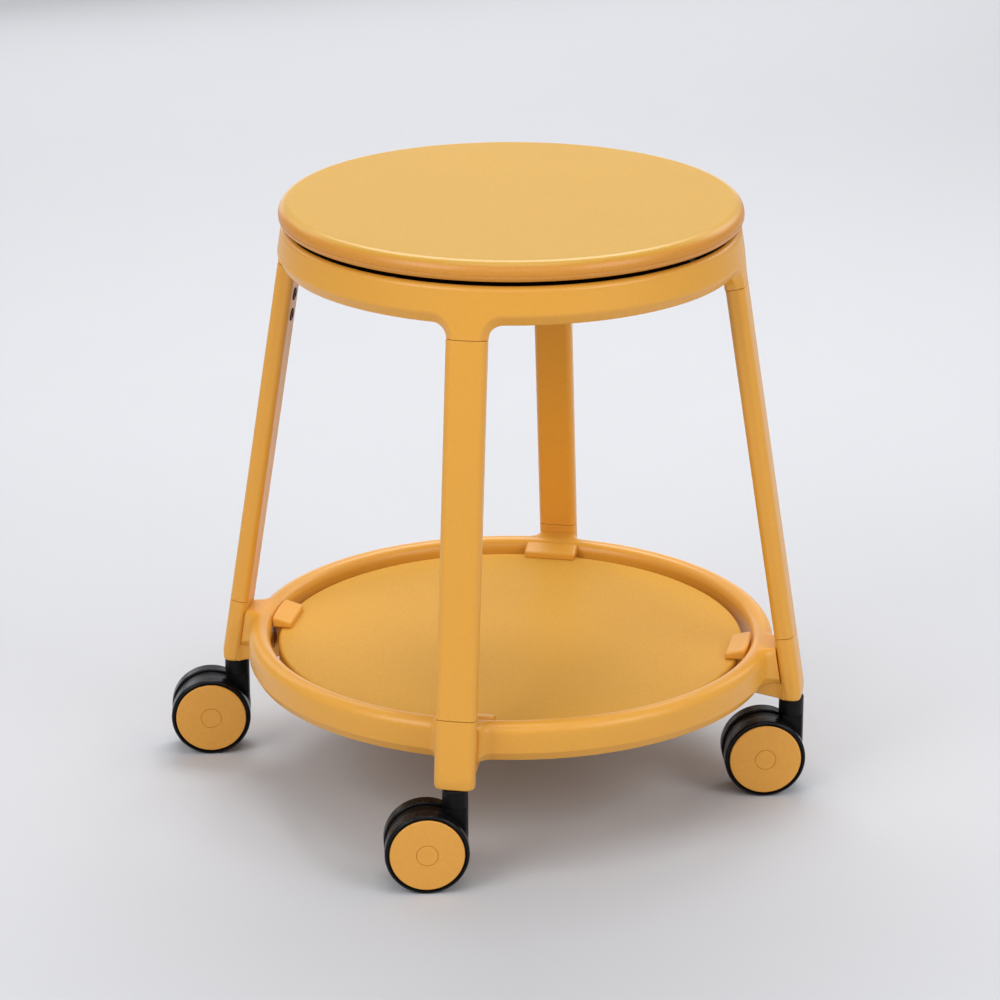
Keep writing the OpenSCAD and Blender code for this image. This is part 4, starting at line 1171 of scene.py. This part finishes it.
def clip(name, heading):
    """A clip: a plate that slopes down from the ring to the tray, on a leg that stands on the foot's arm."""
    turn = at_heading(heading)
    top, low = tray_high.z, tray_low.z
    run = CLIP_OUT_R - CLIP_IN_R

    def follow(x, z, y):
        along = (x - CLIP_IN_R) / run
        return turn(x - y * y / (2 * RING_BORE_R) * along, y, z)

    def straight(x, z, y):
        return turn(x, y, z)
    corners = [(CLIP_IN_R, top, CLIP_TOE_R), (CLIP_OUT_R, top, CLIP_TOE_R),
               (CLIP_OUT_R, top + CLIP_RISE + run * tan(CLIP_FALL), CLIP_EDGE_R),
               (CLIP_IN_R, top + CLIP_RISE, CLIP_EDGE_R)]
    flange = slab(corners, -CLIP_W / 2, CLIP_W / 2, CLIP_EDGE_R, follow, between=CLIP_STEPS)
    high = top + CLIP_LEG_BITE
    post = [(CLIP_LEG_IN_R, low, CLIP_LEG_TOE_R), (CLIP_LEG_OUT_R, low, CLIP_LEG_TOE_R),
            (CLIP_LEG_OUT_R, high, CLIP_LEG_TOP_R), (CLIP_LEG_IN_R, high, CLIP_LEG_TOP_R)]
    stem = slab(post, -CLIP_LEG_W / 2, CLIP_LEG_W / 2, CLIP_LEG_EDGE_R, straight, between=CLIP_LEG_STEPS)
    return make("clip_" + name, flange, stem)


def clips():
    """The four clips. The first stands for the CAD's clips, which are one node."""
    parts = [clip(name, heading) for name, heading in HEADINGS.items()]
    stand_for(parts[0], "frame", "clip", "tray_clips")
    for obj in parts[1:]:
        dress(obj, "clip")
        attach(obj, "frame")


# Casters

def at_caster(name):
    """A placing function on a caster's pivot: x runs against its trail, y along its axle."""
    heading = HEADINGS[name]
    return at_heading(CASTER_TURN, Vector((PIVOT_R * cos(heading), PIVOT_R * sin(heading), 0)))


def barrel(place):
    """The barrel round the stem: round above the wheels, with two flats between them."""
    flat_z = 2 * WHEEL_R + BARREL_FLAT_RISE
    flat = HOOD_HALF - BARREL_FLAT_GAP
    soft, edge = BARREL_FLAT_EDGE, BARREL_EDGE_R
    levels = [(WHEEL_R - BARREL_BITE, 0, True), (flat_z - soft, 0, True), (flat_z, soft, True),
              (flat_z, soft, False), (flat_z + BARREL_FLAT_RISE, 0, False), (BARREL_TOP_Z - edge, 0, False)]
    for angle in quarter(BARREL_EDGE_STEPS, 1):
        levels.append((BARREL_TOP_Z - edge + edge * sin(angle), edge * (1 - cos(angle)), False))
    rings = []
    for z, depth, flats in levels:
        ring = []
        for i in range(BARREL_SEGMENTS):
            a = 2 * pi * i / BARREL_SEGMENTS
            x, y = (BARREL_R - depth) * cos(a), (BARREL_R - depth) * sin(a)
            ring.append(place(x, min(max(y, -flat), flat) if flats else y, z))
        rings.append(ring)
    return skin(rings)


def hood(place):
    """The hood between the wheels: round above, cut straight below, with a boss round the axle."""
    start = -asin(HOOD_SKIRT / HOOD_R)
    corners = []
    for i in range(HOOD_SEGMENTS + 1):
        a = start + (pi - 2 * start) * i / HOOD_SEGMENTS
        toe = HOOD_TOE_R if i in (0, HOOD_SEGMENTS) else 0
        corners.append((HOOD_R * cos(a), WHEEL_R + HOOD_R * sin(a), toe))

    def lying(x, z, y):
        return place(x - TRAIL, y, z)
    edge, narrow = AXLE_BOSS_EDGE, AXLE_BOSS_R - AXLE_BOSS_EDGE
    boss = turned([(0.0, -HOOD_HALF), (narrow, -HOOD_HALF), (AXLE_BOSS_R, -HOOD_HALF + edge),
                   (AXLE_BOSS_R, HOOD_HALF - edge), (narrow, HOOD_HALF), (0.0, HOOD_HALF)],
                  lambda x, z, y: lying(x, WHEEL_R + z, y * AXLE_BOSS_SHARE), AXLE_BOSS_SEGMENTS)
    return slab(corners, -HOOD_HALF, HOOD_HALF, HOOD_RIM_R, lying), boss


def caster_body(name):
    """A caster's moulded body: barrel, hood and axle boss in one."""
    place = at_caster(name)
    whole = combined(make("hood_" + name, barrel(place)), hood(place), "UNION")
    stand_for(whole, "caster_" + name, "fork", "caster_" + name)


# Wheels

def on_wheel(name, sign):
    """A placing function for a wheel: height runs outwards along the axle from the hood's middle."""
    place = at_caster(name)
    return lambda x, z, out: place(x - TRAIL, sign * out, WHEEL_R + z)


def tyre_profile():
    """The tread with a soft outer shoulder, and a shadow gap round the cap."""
    lip, floor = CAP_R + CAP_GAP, TYRE_OUT - CAP_GAP_D
    return outline([
        (HUB_R, WHEEL_IN, EDGE_R), (WHEEL_R, WHEEL_IN, TYRE_INNER_R), (WHEEL_R, TYRE_OUT, TYRE_SHOULDER_R),
        (lip, TYRE_OUT, EDGE_R), (lip - EDGE_R, floor, INNER_EDGE_R), (HUB_R, floor, INNER_EDGE_R)],
        TYRE_STEPS)


def cap_profile():
    """The cap's flat disc with its bevelled rim and the fine ring round its middle."""
    back, bevel_r, bevel_out = CAP_OUT - CAP_T, CAP_R - CAP_BEVEL, CAP_OUT - CAP_BEVEL
    ring_r, floor, step = CAP_RING_R, CAP_OUT - CAP_RING_D, CAP_STEP
    ring_in = CAP_RING_R - CAP_RING_W
    rim = [(0.0, back), (CAP_R - CAP_SOFT, back), (CAP_R, back + CAP_SOFT), (CAP_R, bevel_out),
           (CAP_R - step, bevel_out + CAP_SOFT), (bevel_r + CAP_SOFT, CAP_OUT - step), (bevel_r, CAP_OUT)]
    face = [(CAP_R * CAP_FACE_SHARE, CAP_OUT), (ring_r, CAP_OUT), (ring_r - step, floor), (ring_in, floor),
            (ring_in - step, CAP_OUT), (0.0, CAP_OUT)]
    return rim + face


def hub_profile():
    """The wheel's inner face: rim, dished web and boss."""
    back, dish, rim_r = TYRE_OUT - HUB_BACK, WHEEL_IN + HUB_DISH, HUB_R - HUB_RIM_W
    return outline([
        (HUB_R, WHEEL_IN, EDGE_R), (HUB_R, back, HUB_SOFT_R), (HUB_BORE_R, back, INNER_EDGE_R),
        (HUB_BORE_R, WHEEL_IN, INNER_EDGE_R), (HUB_BOSS_R, WHEEL_IN, EDGE_R),
        (HUB_BOSS_R + HUB_SLOPE, dish, HUB_DISH_R), (rim_r - HUB_SLOPE, dish, HUB_DISH_R),
        (rim_r, WHEEL_IN, HUB_SOFT_R)], HUB_STEPS)


def wheel(name, side):
    """One wheel of a caster: tyre, cap and hub, all on the wheel's own body."""
    place = on_wheel(name, SIDES[side])
    end = f"{name}_{side}"
    tread = make("tread_" + end, turned(tyre_profile(), place, loop=True))
    stand_for(tread, "wheel_" + end, "tyre", "tyre_" + end)
    disc = make("disc_" + end, turned(cap_profile(), place, CAP_SEGMENTS))
    stand_for(disc, "wheel_" + end, "cap", "cap_" + end)
    core = make("core_" + end, turned(hub_profile(), place, HUB_SEGMENTS, loop=True))
    stand_for(core, "wheel_" + end, "hub", "hub_" + end)


# Stage, lights and camera

def stage():
    """A pale floor that runs up into a pale wall in one soft curve."""
    r, curve_y = WALL_CURVE_R, WALL_Y - WALL_CURVE_R
    line = [(FLOOR_FRONT_Y, 0.0)]
    line += [(curve_y + r * sin(angle), r - r * cos(angle)) for angle in quarter(WALL_STEPS)]
    line.append((WALL_Y, WALL_TOP_Z))
    points = [STOOL_SPIN @ Vector((x, y, z)) for y, z in line for x in (-FLOOR_HALF_W, FLOOR_HALF_W)]
    faces = [[2 * i, 2 * i + 1, 2 * i + 3, 2 * i + 2] for i in range(len(line) - 1)]
    mesh = bpy.data.meshes.new("studio_floor")
    mesh.from_pydata(points, [], faces)
    mesh.polygons.foreach_set("use_smooth", [True] * len(mesh.polygons))
    mesh.materials.append(paper_material())
    linked("studio_floor", mesh)


def paper_material():
    """Pale paper with hardly any drift in its colour."""
    material = bpy.data.materials.new("pale_paper")
    material.use_nodes = True
    tree = material.node_tree
    drift = placed_group(tree, DRIFT, Color=PAPER, Patches=0.02, Mottling=0.01)
    feed(tree, tree.nodes["Principled BSDF"].inputs,
         {"Base Color": drift, "Roughness": 0.85, "Specular IOR Level": 0.2})
    return material


def lamp(name, at, size, power):
    """A soft rectangular light that looks at the stool."""
    light = bpy.data.lights.new(name, "AREA")
    light.shape = "RECTANGLE"
    light.size, light.size_y = size
    light.energy = power
    obj = linked(name, light)
    obj.location = STOOL_SPIN @ Vector(at)
    obj.rotation_euler = (LAMP_AIM - obj.location).to_track_quat("-Z", "Y").to_euler()


def lights():
    """The lamps, and white daylight from all round."""
    for name, (at, size, power) in LAMPS.items():
        lamp(name, at, size, power)
    world = bpy.data.worlds.new("studio")
    world.use_nodes = True
    feed(world.node_tree, world.node_tree.nodes["Background"].inputs,
         {"Color": (1.0, 1.0, 1.0, 1.0), "Strength": DAYLIGHT})
    bpy.context.scene.world = world


def camera():
    """The photograph's camera, turned with the frame that the legs stand on."""
    data = bpy.data.cameras.new("photo_camera")
    data.sensor_width = SENSOR_MM
    data.sensor_fit = "HORIZONTAL"
    data.lens = FOCAL_PIXELS / PHOTO_PIXELS * data.sensor_width
    data.clip_end = FARTHEST
    obj = linked("photo_camera", data)
    obj.location = STOOL_SPIN @ CAMERA_AT
    obj.rotation_euler = (pi / 2 - CAMERA_PITCH, 0.0, STOOL_TURN)
    bpy.context.scene.camera = obj


camera()
dress_nodes()
seat_shell()
seat_rim()
collar()
for place_name, place_heading in HEADINGS.items():
    leg(place_name, place_heading)
    foot(place_name, place_heading)
    caster_body(place_name)
    for side_name in SIDES:
        wheel(place_name, side_name)
tray_ring()
tray_plate()
tray_ribs()
clips()
leg_screws()
stage()
lights()
bpy.context.scene.view_settings.view_transform = "Standard"
